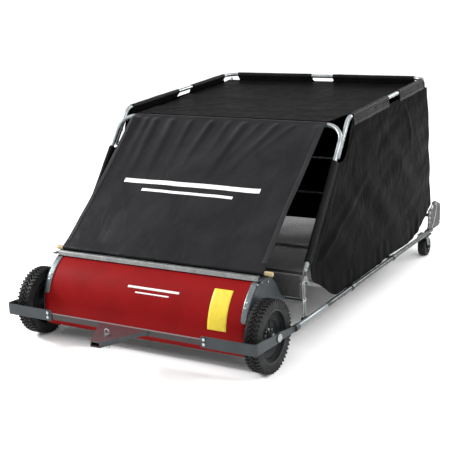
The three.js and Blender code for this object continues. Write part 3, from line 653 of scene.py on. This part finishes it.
def wheel(side, end):
    def turned(name, profile, material):
        return lathe(name, [(r, side * x) for r, x in profile], AXLE, material, 96)

    rim = turned("rim", [
        (9, 562), (22, 562), (22, 574.5), (64, 574.5), (70, 578), (74, 582), (103, 582), (104, 578),
        (104, 549), (108, 549), (108, 603), (106.5, 604), (104.5, 603), (104, 600), (103, 588),
        (101, 586.4), (90, 586), (88, 587.6), (84, 587.6), (82, 586), (72, 586), (69, 584.6),
        (65, 579.6), (62, 578.6), (40, 578.5), (38, 580), (34, 580), (32, 578.5), (23, 578.5),
        (21.5, 580), (20.5, 594), (19, 596), (9, 596),
    ], PLASTIC)
    ribs = []
    for i in range(6):
        angle = math.pi / 3 * i + 0.3
        ends = [(side * 579.6, *polar(AXLE, radius, angle)) for radius in (20, 62)]
        ribs.append(swept("rib", ends, 2.6, PLASTIC, 10))
    bolts = []
    for i in range(3):
        y, z = polar(AXLE, 31, 2 * math.pi / 3 * i + 0.7)
        bolts.append(swept("hub_bolt", [(side * 578, y, z), (side * 584, y, z)], 5.2, ZINC, 6))
    piece = joined(f"wheel_rim_{end}_turned", rim, *ribs, *bolts)
    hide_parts(f"wheel_rim_{end}")
    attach(piece, f"wheel_{end}")


def brush_rows():
    rng = np.random.default_rng(7)
    rows, bristles = 4, 9
    for row in range(rows):
        middle = 2 * math.pi * (row + 0.25) / rows
        points, faces = [], []
        for x in np.arange(-500, 501, 11.0):
            for _ in range(bristles):
                angle = middle + rng.normal(0, 0.03)
                foot = (x + rng.normal(0, 1.6), 20.4, rng.uniform(-3.4, 3.4))
                tip = (x + rng.normal(0, 4.5), BRUSH_RADIUS * rng.uniform(0.95, 0.998), rng.uniform(-8, 8))
                base = len(points)
                for (along, out, aside), thick in ((foot, 1.1), (tip, 0.7)):
                    for turn in np.linspace(0, 2 * math.pi, 3, endpoint=False):
                        side = aside + thick * math.sin(turn)
                        y, z = polar(polar(BRUSH, out, angle), side, angle + math.pi / 2)
                        points.append((along + thick * math.cos(turn), y, z))
                faces += band(base, base + 3, 3)
                faces += [(base + 2, base + 1, base), (base + 3, base + 4, base + 5)]
        strip = outward(mesh_object(f"brush_tufts_{row + 1}", points, faces, BRISTLES))
        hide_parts(f"brush_row_{row + 1}")
        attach(strip, "brush")


# ---- Hopper tubes ----
def leg_point(distance, back=0.0):
    return PIVOT + distance * LEG + back * LEG_BACK


def at(x, spot):
    return np.array([x, spot[0], spot[1]])


def along_top(distance):
    return TOP_FRONT + TOP_RUN * distance


def hopper_tubes():
    foot = leg_point(26)
    bow_corners = [at(-LEG_X, foot), at(-LEG_X, BOW_TOP), at(LEG_X, BOW_TOP), at(LEG_X, foot)]
    pieces = [swept("bow_tube", bent(bow_corners, 80, 14), TUBE, ZINC, 24)]
    for side in (-1, 1):
        x0 = side * LEG_X - 2
        pieces.append(plate("lug", stadium(PIVOT, leg_point(44), 12), x0, x0 + 4, ZINC))
        pieces.append(plate("brace", stadium(PIVOT, (341, 276), 9), x0 + 0.1, x0 + 3.9, ZINC))
    bow = joined("front_bow_smooth", *pieces)
    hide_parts("front_bow")
    behind = 2 * TUBE + 0.6
    start = leg_point(556, behind)
    corners = [at(-LEG_X, start), at(-LEG_X, TOP_FRONT), at(-LEG_X, TOP_REAR),
               at(LEG_X, TOP_REAR), at(LEG_X, TOP_FRONT), at(LEG_X, start)]
    parts = [swept("top_tube", bent(corners, 62, 12), TUBE, ZINC, 24, bore=8)]
    for side in (-1, 1):
        for distance in (576, 642):
            tail, nut, tip = (at(side * LEG_X, leg_point(distance, behind + reach)) for reach in (9, 13, 17))
            parts.append(swept("bolt_tail", [tail, tip], 3, ZINC, 10))
            parts.append(swept("bolt_nut", [tail, nut], 6, ZINC, 6))
    top = joined("top_frame_smooth", *parts)
    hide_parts("top_frame")
    high = (1808, 962)
    rear_corners = [at(-586, high), at(-586, BAG_REAR_LOW), at(586, BAG_REAR_LOW), at(586, high)]
    rear = joined("rear_frame_smooth", swept("rear_tube", bent(rear_corners, 50, 12), 8, ZINC, 20))
    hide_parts("rear_frame")
    for piece in (bow, top, rear):
        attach(piece, "hopper")


# ---- Hopper cloth ----
def floor_height(y):
    """The sagging floor's curve, as a smooth line through its knots."""
    knots = np.array(FLOOR_KNOTS, float)
    slopes = np.gradient(knots[:, 1], knots[:, 0])
    y = np.asarray(y, float)
    i = np.clip(np.searchsorted(knots[:, 0], y) - 1, 0, len(knots) - 2)
    span = knots[i + 1, 0] - knots[i, 0]
    t = np.clip((y - knots[i, 0]) / span, -0.4, 1.4)
    a, b = knots[i, 1], knots[i + 1, 1]
    h = t * t * (3 - 2 * t)
    return a + (b - a) * h + span * (slopes[i] * t * (1 - t) ** 2 - slopes[i + 1] * t * t * (1 - t))


def wall_top(y):
    """Height of the side wall's upper edge: up the bow's leg, round the cut-out, along the top tube."""
    notch = ((534, 4), (538, 22), (548, 40), (566, 57), (590, 68), (618, 72), (650, 69), (690, 52))
    line = [leg_point(50), leg_point(300), *(leg_point(*spot) for spot in notch), along_top(28)]
    line += [along_top(d) + (0, drop) for d, drop in ((466, 0), (472, -30), (608, -30), (614, 0), (990, 0))]
    line = np.array(line)
    return np.interp(y, line[:, 0], line[:, 1])


def wall_outline(v):
    """The walls from above, one row for each height: x, y and both parts of the way out, by column."""
    radius = 20 + 10 * v
    rear = 1886 - 66.5 * v
    run = np.linspace(0, 1, 190) + 0 * v
    turn = np.linspace(0, math.pi / 2, 14)[1:-1] + 0 * v
    across = np.linspace(1, -1, 120) + 0 * v
    side = (BAG_X + 0 * run, BAG_FRONT + run * (rear - radius - BAG_FRONT), 1 + 0 * run, 0 * run)
    corner = (BAG_X - radius + radius * np.cos(turn), rear - radius + radius * np.sin(turn),
              np.cos(turn), np.sin(turn))
    back = ((BAG_X - radius) * across, rear + 0 * across, 0 * across, 1 + 0 * across)
    columns = []
    for near, bend, middle, mirror in zip(side, corner, back, (-1, 1, -1, 1)):
        far = mirror * np.concatenate([near, bend], axis=1)[:, ::-1]
        columns.append(np.concatenate([near, bend, middle, far], axis=1))
    return columns


def bag_walls():
    """Both sides and the back of the hopper as one sheet that goes round the rear corners."""
    v = np.linspace(0, 1, 110)[:, None]
    x, y, nx, ny = wall_outline(v)
    low_y, high_y = y[0], y[-1]
    front_rise = 278 + (353 - low_y) * 1.5
    bottom = np.where(low_y < 353, front_rise, floor_height(np.minimum(low_y, FLOOR_REAR)))
    bottom = np.where(low_y > FLOOR_REAR, 280 + (low_y - FLOOR_REAR) * 0.2, bottom)
    bare_bend = smooth_step(high_y, 1748, 1766) * smooth_step(np.abs(x[-1]), 524, 548)
    bare_middle = smooth_step(high_y, 1810, 1815) * (1 - smooth_step(np.abs(x[-1]), 60, 72))
    top = wall_top(np.minimum(high_y, 1800)) - 44 * bare_bend - 26 * bare_middle
    dip = 24 * smooth_step(low_y, 400, 560) * (1 - smooth_step(low_y, 700, 1250))
    bottom = np.where((low_y > 400) & (low_y < 1250), np.maximum(bottom - dip, 151), bottom)
    z = bottom[None, :] + (top - bottom)[None, :] * v
    steps = np.hypot(np.diff(x[0], prepend=x[0, 0]), np.diff(y[0], prepend=y[0, 0]))
    length = np.cumsum(steps)[None, :]
    out = wall_folds(length + 0 * z, z, v + 0 * z, bottom[None, :] + 0 * z)
    below_edge = top[None, :] - z
    out = out * smooth_step(below_edge, 30, 120) - 1.5 * (1 - smooth_step(below_edge, 50, 70))
    points = np.stack([x + nx * out, y + ny * out, z], axis=-1)
    walls = cloth_sheet("bag_walls", points, (float(length.max()) * MM, 0.72), CLOTH_WALL)
    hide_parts("bag_side_left", "bag_side_right", "bag_back")
    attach(walls, "hopper")


def wall_folds(s, z, v, bottom):
    """How far the wall stands out of its plane: billow, diagonal creases and a gathered lower edge."""
    billow = 8.0 * noise(s / 520, z / 380, 3) * np.sin(math.pi * v)
    slant = (s * 0.62 + z * 0.78) / 95
    diagonal = 5.0 * noise(slant, (s * 0.78 - z * 0.62) / 430, 11) * np.sin(math.pi * v) ** 0.7
    other = (s * 0.3 - z * 0.95) / 60
    fine = 2.2 * noise(other, s / 300, 23) * smooth_step(v, 0.0, 0.25)
    near_edge = 1 - smooth_step(z - bottom, 0, 130)
    waves = 4.2 * np.sin(s / 15.0 + 2.2 * noise(s / 130, z / 600, 31))
    ruffle = near_edge * (waves * noise(s / 110, 0.3 + z * 0, 37) + 2.0)
    crest = 4.0 * ridge(s + 0.35 * z - 1480 + 30 * np.sin(z / 70), 26)
    fold = crest * smooth_step(z, 640, 760) * (1 - smooth_step(v, 0.85, 1))
    corner = (s - 60) * 0.5 - (z - 330)
    fan = 5.0 * ridge(corner, 36) * smooth_step(s, 20, 160) * (1 - smooth_step(s, 420, 760))
    return billow + diagonal + fine + ruffle + fold + fan


def teardrop(radius, drop, steps=22):
    """Section of a cloth sleeve: round a tube, then flat down to a seam. Pairs of (out, up)."""
    angles = np.radians(np.linspace(-35, 215, steps))
    loop = [(radius * math.cos(a), radius * math.sin(a)) for a in angles]
    seam = (radius - 0.2, -drop)
    inner_seam = (radius - 2.4, -drop)
    return [seam, (radius + 0.3, -0.6 * drop), *loop, (radius - 6.5, -0.62 * drop), inner_seam]


def sleeve(name, start, end, out, up, drop, seed):
    """A sleeve of cloth round a straight tube, with a few puckers along it."""
    start, end = np.asarray(start, float), np.asarray(end, float)
    out, up = np.asarray(out, float), np.asarray(up, float)
    length = np.linalg.norm(end - start)
    steps = max(12, int(length / 9))
    section = np.array(teardrop(12.6, drop))
    rows = []
    for t in np.linspace(0, 1, steps):
        pucker = 1 + 0.05 * noise(t * length / 38, np.arange(len(section)) / 5, seed)
        ring = section * pucker[:, None]
        rows.append(start + (end - start) * t + ring[:, :1] * out + ring[:, 1:] * up)
    around = float(np.linalg.norm(np.diff(section, axis=0), axis=1).sum())
    obj = cloth_sheet(name, np.array(rows), (around * MM, length * MM), CLOTH_SLEEVE, 1.0)
    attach(obj, "hopper")


def sleeves():
    seam_drop = 42
    for side, end in SIDES:
        out = (side, 0, 0)
        x = side * LEG_X
        forward = (0, -LEG_BACK[0], -LEG_BACK[1])
        sleeve(f"leg_sleeve_{end}", at(x, leg_point(52)), at(x, leg_point(532)), out, forward, 16,
               41)
        up = (0, -TOP_RUN[1], TOP_RUN[0])
        for part, (a, b) in (("front", (30, 468)), ("rear", (612, 962))):
            sleeve(f"top_sleeve_{part}_{end}", at(x, along_top(a)), at(x, along_top(b)), out, up, seam_drop,
                   43)
        sleeve(f"rear_sleeve_{end}", at(side * 66, TOP_REAR), at(side * 536, TOP_REAR), (0, 1, 0), (0, 0, 1),
               seam_drop, 47)


def floor_mesh():
    seam, patch = 1690.0, 1385.0
    y = np.linspace(354, seam, 90)
    x = np.linspace(-607, 607, 80)
    grid_x, grid_y = np.meshgrid(x, y)
    sag = 2.5 * noise(grid_x / 160, grid_y / 160, 51)
    z = floor_height(grid_y) + 1.5 + np.maximum(sag, -1.0)
    points = np.stack([grid_x, grid_y, z], axis=-1)
    size = (1.214, 1.36)
    floor = cloth_sheet("hopper_floor_mesh", points, size, MESH_PAINTED_LIT, 1.0)
    # Faces in front of patch take the painted-shade copy of the mesh and the rest the painted-lit copy:
    # painted shade and painted light, not two kinds of mesh.
    floor.data.materials.append(MESH_PAINTED_SHADE)
    for face in floor.data.polygons:
        if face.center.y < (patch + SHIFT_Y) * MM:
            face.material_index = 1
    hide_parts("bag_floor")
    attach(floor, "hopper")
    y = np.linspace(seam - 8, 1882, 26)
    grid_x, grid_y = np.meshgrid(x, y)
    z = floor_height(np.minimum(grid_y, FLOOR_REAR)) + np.maximum(grid_y - FLOOR_REAR, 0) * 0.5 + 3.4
    z = z + 1.2 * noise(grid_x / 90, grid_y / 90, 53)
    points = np.stack([grid_x, grid_y, z], axis=-1)
    rear = cloth_sheet("hopper_floor_rear", points, (1.214, 0.2), CLOTH_DARK)
    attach(rear, "hopper")


def debris_flap():
    x = np.linspace(-585, 585, 90)
    z = np.linspace(226, 323, 12)
    grid_x, grid_z = np.meshgrid(x, z)
    y = 284.2 + 1.2 * noise(grid_x / 70, grid_z / 200, 57)
    points = np.stack([grid_x, y, grid_z], axis=-1)
    flap = cloth_sheet("debris_flap_mesh", points, (1.17, 0.1), MESH_FLAP, 1.0)
    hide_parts("debris_flap")
    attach(flap, "chassis")


def top_cover():
    rows = []
    front = BOW_TOP + (8.5, 13.4)
    rear = np.array([1800.0, 950.0])
    u = np.linspace(-1, 1, 120)
    for t in np.linspace(0, 1, 100):
        spot = front + (rear - front) * t
        half = 520 + (598 - 520) * t
        x = u * half
        fall = -7.0 * math.sin(math.pi * t) * (1 - u ** 2) - 10 * t * (1 - t)
        fan = (x + 560) * (0.22 + 0.5 * t)
        folds = 3.4 * noise(t * 9 - x / 900, fan / 800, 61) + 2.2 * noise(t * 17 + x / 520, x / 400, 67)
        for corner in (-530, 530):
            reach = np.hypot(x - corner, 1070 * t + 1)
            bearing = np.arctan2(1070 * t + 1, np.abs(x - corner) + 1)
            for heading in (0.14, 0.34, 0.6, 0.95):
                folds = folds + 6.0 * ridge(bearing - heading, 0.07) * np.exp(-reach / 420)
        lift = fall + folds * min(1.0, 6 * t) * (0.35 + 0.65 * np.abs(u)) * (1 - 0.5 * t)
        rows.append(np.stack([x, spot[0] + 0 * x, spot[1] + lift], axis=-1))
    cover = cloth_sheet("top_cover_cloth", np.array(rows), (1.12, 1.1), CLOTH_COVER)
    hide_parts("top_cover")
    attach(cover, "hopper")


# ---- Wind screen ----
SCREEN_RUN = (DOWEL - BOW_TOP) / np.linalg.norm(DOWEL - BOW_TOP)
SCREEN_OUT = np.array([SCREEN_RUN[1], -SCREEN_RUN[0]])
SCREEN_LIFT = 11.8


def screen_section():
    """The screen's line from the bow, down to the dowel, round it, and back up to the hem's seam."""
    facing = math.degrees(math.atan2(SCREEN_OUT[1], SCREEN_OUT[0]))
    over = arc(BOW_TOP, SCREEN_LIFT, 38, facing, 13)
    round_dowel = arc(DOWEL, 12.2, facing, facing + 178, 19)
    head, foot = BOW_TOP + SCREEN_LIFT * SCREEN_OUT, DOWEL + 12.2 * SCREEN_OUT
    straight = [head + (foot - head) * t for t in np.linspace(0, 1, 118)[1:]]
    seam = DOWEL - 38 * SCREEN_RUN + 10.2 * SCREEN_OUT
    last = np.array(round_dowel[-1])
    closing = [last + (seam - last) * t for t in np.linspace(0, 1, 5)[1:]]
    return np.array([*over, *straight, *round_dowel[1:], *closing]), len(over), len(straight)


def screen_pleats(x, down):
    """Pleats that hang from the top seam and die out; down is 0 at the top and 1 at the dowel."""
    pleats = [(-492, -14, 34, 18.0, 0.7), (-428, -4, 22, 9.0, 0.5), (-374, 0, 24, 12.0, 0.55),
              (-281, 0, 28, 15.0, 0.55), (-178, -10, 20, 9.0, 0.45), (-58, -70, 22, 13.0, 0.5),
              (40, -60, 18, 7.0, 0.35), (122, -95, 22, 14.0, 0.5), (205, -120, 18, 6.0, 0.35),
              (296, -190, 22, 10.0, 0.48), (385, -200, 20, 6.0, 0.35), (488, 20, 20, 5.0, 0.9)]
    height = 0 * x
    for top_x, drift, width, rise, reach in pleats:
        centre = top_x + drift * down / reach
        fade = np.clip(1 - down / reach, 0, 1) ** 1.2 * smooth_step(down, 0.0, 0.05)
        height = height + rise * ridge(x - centre, width * (1 + 0.8 * down)) * fade
    return height


def screen_lift(x, down):
    """How far the screen's cloth stands out of its flat line at one place."""
    broad = 4.0 * noise(x / 260, down * 3.1, 71) + 3.0 * noise(x / 150 - down * 4, down * 2.0, 79)
    return screen_pleats(x, down) + broad + 1.8 * noise(x / 75 + down * 2, down * 9, 73)


def screen_row(across, spot, lift):
    """One row of points across the screen, each lifted off its flat line at spot."""
    return np.stack([across, spot[0] + SCREEN_OUT[0] * lift, spot[1] + SCREEN_OUT[1] * lift], axis=-1)


def screen_half(down):
    """Half the screen's width, which draws in a little between the bow and the dowel."""
    return SCREEN_HALF - 5 * math.sin(math.pi * down)


def wind_screen():
    line, over, straight = screen_section()
    x = np.linspace(-1, 1, 210)
    step = np.linalg.norm(np.diff(line, axis=0), axis=1)
    length = np.concatenate([[0], np.cumsum(step)])
    head, foot = length[over - 1], length[over + straight - 1]
    rows = []
    for i, spot in enumerate(line):
        down = np.clip((length[i] - head) / (foot - head), 0, 1)
        across = x * screen_half(down)
        on_panel = float(smooth_step(down, 0.0, 0.04) * (1 - smooth_step(down, 0.93, 1.0)))
        rows.append(screen_row(across, spot, screen_lift(across, down + 0 * across) * on_panel))
    size = (2 * SCREEN_HALF * MM, float(length[-1]) * MM)
    screen = cloth_sheet("wind_screen_cloth", np.array(rows), size, CLOTH_BLACK)
    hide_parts("wind_screen")
    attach(screen, "wind_screen")
    for side, end in SIDES:
        edge_rows = []
        for t in np.linspace(0.012, 0.955, 110):
            spot = BOW_TOP + (DOWEL - BOW_TOP) * t
            across = side * (screen_half(t) - np.linspace(0, 22, 5))
            lift = SCREEN_LIFT + 1.7 + screen_lift(across, t + 0 * across)
            edge_rows.append(screen_row(across, spot, lift))
        # The hem's lighter cloth is a painted highlight along the screen's edge.
        hem = cloth_sheet(f"screen_hem_{end}", np.array(edge_rows), (0.022, 0.77), CLOTH_PAINTED_HIGHLIGHT, 1.0)
        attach(hem, "wind_screen")


def dowel():
    path = spread((-554, *DOWEL), (554, *DOWEL), 60)
    rod = joined("dowel_turned", swept("dowel_rod", path, DOWEL_RADIUS, WOOD, 28))
    rod.modifiers.clear()
    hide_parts("dowel")
    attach(rod, "wind_screen")


# ---- Blank stickers and printed bars ----
def markings():
    shell_patch("blank_label", (-44, 44, -82, 92), 379, 152.5, YELLOW_VINYL)
    for index, (half, down, deep) in enumerate(((130, -14, 5), (85, 8, 3))):
        edges = (-half, half, down - deep, down + deep)
        shell_patch(f"shell_stripe_{index + 1}", edges, 48, 147, WHITE_VINYL)
    for index, (half, share, deep) in enumerate(((360, 0.5, 0.015), (240, 0.56, 0.009))):
        rows = []
        for t in np.linspace(share - deep, share + deep, 12):
            across = np.linspace(-18 - half, -18 + half, 90)
            lift = screen_lift(across, t + 0 * across) + SCREEN_LIFT + 1
            rows.append(screen_row(across, BOW_TOP + (DOWEL - BOW_TOP) * t, lift))
        size = (2 * half * MM, 2 * deep * float(np.linalg.norm(DOWEL - BOW_TOP)) * MM)
        stripe = cloth_sheet(f"screen_stripe_{index + 1}", np.array(rows), size, WHITE_VINYL, 0.3)
        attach(stripe, "wind_screen")


# ---- Small fittings ----
def fixed(piece, body="chassis"):
    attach(piece, body)


def arm_bolt_heads(side, end):
    x = side * 394
    bolts = [swept("bolt", [(x, -191.6, z), (x, -199, z)], 6.4, BRIGHT, 12) for z in (156, 176)]
    fixed(joined(f"arm_bolt_heads_{end}", *bolts))


def leg_bolts(side, end):
    bolts = []
    for distance in (18, 40):
        foot, head = at(side * 601, leg_point(distance)), at(side * 609, leg_point(distance))
        bolts.append(swept("leg_washer", [foot, foot + (side * 3.5, 0, 0)], 8.5, BRIGHT, 24))
        bolts.append(swept("leg_bolt", [foot, head], 6, BRIGHT, 6))
    fixed(joined(f"leg_bolts_{end}", *bolts), "hopper")


def axle_hardware(side, end):
    def turned(name, profile, material):
        return lathe(name, [(r, side * x) for r, x in profile], AXLE, material, 48)

    def along_axle(name, x0, x1, radius, sides):
        return swept(name, [(side * x0, *AXLE), (side * x1, *AXLE)], radius, BRIGHT, sides)

    knob = turned("knob", [(0.4, 634), (5.6, 634), (6.6, 630.6), (12, 630), (14, 634), (16.4, 633.4),
                           (17, 628.4), (0.4, 628.4)], BRIGHT)
    boss = turned("boss", [(17.2, 628.3), (17.2, 630.8), (21, 630.4), (21.6, 628.3)], BLACK)
    collar = along_axle("collar", 596.6, 606, 13.5, 24)
    nut = along_axle("nut", 606, 612, 10, 6)
    pin = swept("split_pin", [(side * 615, -18, 158), (side * 615, 16, 148)], 1.8, BRIGHT, 8)
    fixed(joined(f"axle_hardware_{end}", knob, boss, collar, nut, pin))


def bracket_bolts(side, end):
    bolts = []
    for y, z, r in ((1903, 262, 11), (1872, 234, 7), (1866, 206, 7), (1858, 184, 6), (1960, 268, 6),
                    (2030, 150, 6)):
        bolts.append(swept("washer", [(side * 608.6, y, z), (side * 610.2, y, z)], 1.25 * r, BRIGHT, 24))
        bolts.append(swept("head", [(side * 610, y, z), (side * 615, y, z)], r, BRIGHT, 6))
    fixed(joined(f"bracket_bolts_{end}", *bolts))


def side_plate_bolts(side, end):
    heads = [swept("head", [(side * 518.8, y, z), (side * reach, y, z)], r, BRIGHT, 6)
             for y, z, reach, r in ((66, 352, 523, 5), (118, 340, 524, 6), (32, 350, 522, 4))]
    fixed(joined(f"side_plate_bolts_{end}", *heads))


def bracket_lip(side, end):
    spots = ((1990, 275), (1986, 240), (1972, 200), (1948, 166), (1920, 140))
    fold = [at(side * 607, spot) for spot in spots]
    curve = []
    for a, b in zip(fold, fold[1:]):
        curve += spread(a, b, 14)[:-1]
    lip = swept("lip", [*curve, fold[-1]], 3.2, BRIGHT, 10)
    outline = [(2038, 132), (2052, 134), (2056, 246), (2044, 252)]
    rear = plate("rear_flange", outline, side * 596, side * 609, BROWN)
    fixed(joined(f"bracket_lip_{end}", lip, rear))


def fittings():
    for side, end in SIDES:
        arm_bolt_heads(side, end)
        leg_bolts(side, end)
        axle_hardware(side, end)
        bracket_bolts(side, end)
        side_plate_bolts(side, end)
        bracket_lip(side, end)


def hitch_arms():
    """Flat bars from the front bar, bent round the outside of each wheel and narrowed to the axle."""
    bend, front, eye, columns = 16.0, -190.0, 20.0, 7
    start, straight = HITCH_ARM_X - bend, front + bend
    for side, end in SIDES:
        path = [(x, front) for x in np.linspace(378, start, 12)]
        path += arc((start, straight), bend, -90, 0, 8)[1:]
        path += [(HITCH_ARM_X, y) for y in np.linspace(straight, 0, 14)[1:]]
        path += [(HITCH_ARM_X, eye * math.sin(a)) for a in np.radians(np.linspace(10, 89, 9))]
        rows = []
        for x, y in path:
            taper = smooth_step(y, straight, 0)
            half = 24 - 4 * taper if y <= 0 else math.sqrt(max(0.3, eye ** 2 - y ** 2))
            middle = 163 - (163 - AXLE[1]) * taper
            rows.append([(side * x, y, middle + half * k) for k in np.linspace(-1, 1, columns)])
        bar = mesh_object("bar", np.array(rows), grid_faces(len(path), columns), GREY)
        arm = joined(f"hitch_arm_{end}_bent", bevel(thicken(bar, 4), 0.8))
        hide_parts(f"hitch_arm_{end}")
        fixed(arm)


def hopper_posts():
    front, rear = POST_RODS[0] - 8, POST_RODS[1] + 8
    for side, end in SIDES:
        x = side * POST_X
        parts = [swept("rod", spread((x, y, 144), (x, y, 305), 40), 2.8, ZINC, 14) for y in POST_RODS]
        for z, height in ((146, 8), (212, 4), (224, 4), (297, 6)):
            parts += [swept("nut", [(x, y, z), (x, y, z + height)], 5.4, BRIGHT, 6) for y in POST_RODS]
        clamp = [(front, 216), (rear, 216), (rear, 222), (front, 222)]
        parts.append(plate("clamp", clamp, side * 598, side * 608, BRIGHT))
        parts.append(plate("eye", stadium((280, 302), PIVOT, 10), x, side * 606, ZINC_MID))
        foot = [(front - 1, 128), (rear + 1, 128), (rear + 1, 146), (front - 1, 146)]
        parts.append(plate("foot", foot, side * 597, side * 608.6, GREY))
        post = joined(f"hopper_post_{end}_rods", *parts)
        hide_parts(f"hopper_post_{end}")
        fixed(post)
        hub_fastener(side, end)


def hub_fastener(side, end):
    bolts = [swept("bolt", [(side * 578.6, y, z), (side * reach, y, z)], radius, BRIGHT, 6)
             for y, z, reach, radius in ((-14, 185, 590, 6.5), (-3, 175, 586, 4.5), (-24, 178, 584, 3.5))]
    fixed(joined(f"hub_fastener_{end}", *bolts), f"wheel_{end}")


def rails():
    def tube(name, side, y0, y1, material):
        x, z = side * RAIL[0], RAIL[1]
        return swept(name, spread((x, y0, z), (x, y1, z), 90), 11, material, 28, bore=9)

    for side, end in SIDES:
        near = tube("rail_front", side, 158.6, 470, ZINC_RAIL)
        far = tube("rail_rear", side, 468, 1869.8, ZINC_DARK)
        rail = joined(f"side_rail_{end}_round", near, far)
        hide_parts(f"side_rail_{end}")
        fixed(rail)


def both_ways(profile):
    """A closed profile from its half with x below 0, mirrored across x = 0."""
    return profile + [(radius, -x) for radius, x in reversed(profile)]


def casters():
    half = 22.0
    tread_profile = both_ways([(34, -half), (44, -half), (48.4, 1.6 - half), (50, 5 - half)])
    hub_profile = both_ways([(5.6, 1 - half), (14, 1 - half), (15, 5 - half), (34.2, 5 - half)])
    for side, end in SIDES:
        tread = lathe("tread", tread_profile, CASTER, RUBBER, 64)
        hub = lathe("hub", hub_profile, CASTER, PLASTIC, 48)
        wheel_piece = joined(f"caster_wheel_{end}_moulded", tread, hub)
        wheel_piece.data.transform(Matrix.Translation((side * CASTER_X * MM, 0, 0)))
        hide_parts(f"caster_wheel_{end}")
        fixed(wheel_piece, f"caster_wheel_{end}")


# ---- Stage, lights and camera ----
def stage():
    mesh = bpy.data.meshes.new("studio_floor")
    size = 70
    corners = [(-size, -size, 0), (size, -size, 0), (size, size, 0), (-size, size, 0)]
    mesh.from_pydata(corners, [], [(0, 1, 2, 3)])
    mesh.materials.append(stage_floor())
    floor = bpy.data.objects.new("studio_floor", mesh)
    bpy.context.collection.objects.link(floor)
    world = bpy.data.worlds.new("studio")
    bpy.context.scene.world = world
    world.use_nodes = True
    nodes, links = world.node_tree.nodes, world.node_tree.links
    direction = nodes.new("ShaderNodeTexCoord")
    split = nodes.new("ShaderNodeSeparateXYZ")
    links.new(direction.outputs["Generated"], split.inputs["Vector"])
    level = nodes.new("ShaderNodeMapRange")
    level.inputs["From Min"].default_value = 0.0
    level.inputs["From Max"].default_value = 0.8
    level.inputs["To Min"].default_value = 0.62
    level.inputs["To Max"].default_value = 1.3
    links.new(split.outputs["Z"], level.inputs["Value"])
    backdrop = nodes.new("ShaderNodeMix")
    links.new(nodes.new("ShaderNodeLightPath").outputs["Is Camera Ray"], backdrop.inputs["Factor"])
    links.new(level.outputs["Result"], backdrop.inputs["A"])
    backdrop.inputs["B"].default_value = 1.0
    links.new(backdrop.outputs["Result"], nodes["Background"].inputs["Strength"])
    nodes["Background"].inputs["Color"].default_value = (1, 1, 1, 1)


def area_light(name, place, target, size, power):
    data = bpy.data.lights.new(name, "AREA")
    data.shape = "DISK"
    data.size = size
    data.energy = power
    lamp = bpy.data.objects.new(name, data)
    lamp.location = place
    lamp.rotation_euler = (Vector(target) - Vector(place)).to_track_quat("-Z", "Y").to_euler()
    bpy.context.collection.objects.link(lamp)


def lights():
    area_light("key", (-4.2, -1.6, 2.6), (0, -0.2, 0.5), 0.9, 260)
    area_light("fill", (3.9, -0.6, 3.0), (0.5, 0.2, 0.5), 1.0, 60)
    area_light("back", (2.6, 4.6, 3.0), (0, 1.0, 0.6), 2.4, 110)


def camera():
    azimuth, elevation, roll = math.radians(30.12), math.radians(14.44), math.radians(-2.14)
    back = Vector((math.sin(azimuth) * math.cos(elevation), -math.cos(azimuth) * math.cos(elevation),
                   math.sin(elevation)))
    level = Vector((0, 0, 1)).cross(back).normalized()
    upright = back.cross(level)
    right = math.cos(roll) * level + math.sin(roll) * upright
    up = -math.sin(roll) * level + math.cos(roll) * upright
    data = bpy.data.cameras.new("camera")
    data.sensor_width = 36.0
    data.lens = 80.94
    data.shift_x = -0.0173
    data.shift_y = 0.0024
    data.clip_end = 300
    eye = bpy.data.objects.new("camera", data)
    turn = Matrix((right, up, back)).transposed().to_4x4()
    turn.translation = Vector((2.3897, -3.3731 + SHIFT_Y * MM, 1.5992))
    eye.matrix_world = turn
    bpy.context.collection.objects.link(eye)
    bpy.context.scene.camera = eye


# ---- Build ----
camera()
lights()
stage()
bpy.context.scene.view_settings.view_transform = "Standard"
finish_cad_nodes()
housing_shell()
shell_straps()
for side, end in SIDES:
    tyre(side, end)
    wheel(side, end)
brush_rows()
hopper_tubes()
bag_walls()
sleeves()
floor_mesh()
debris_flap()
top_cover()
wind_screen()
dowel()
markings()
fittings()
hitch_arms()
hopper_posts()
rails()
casters()
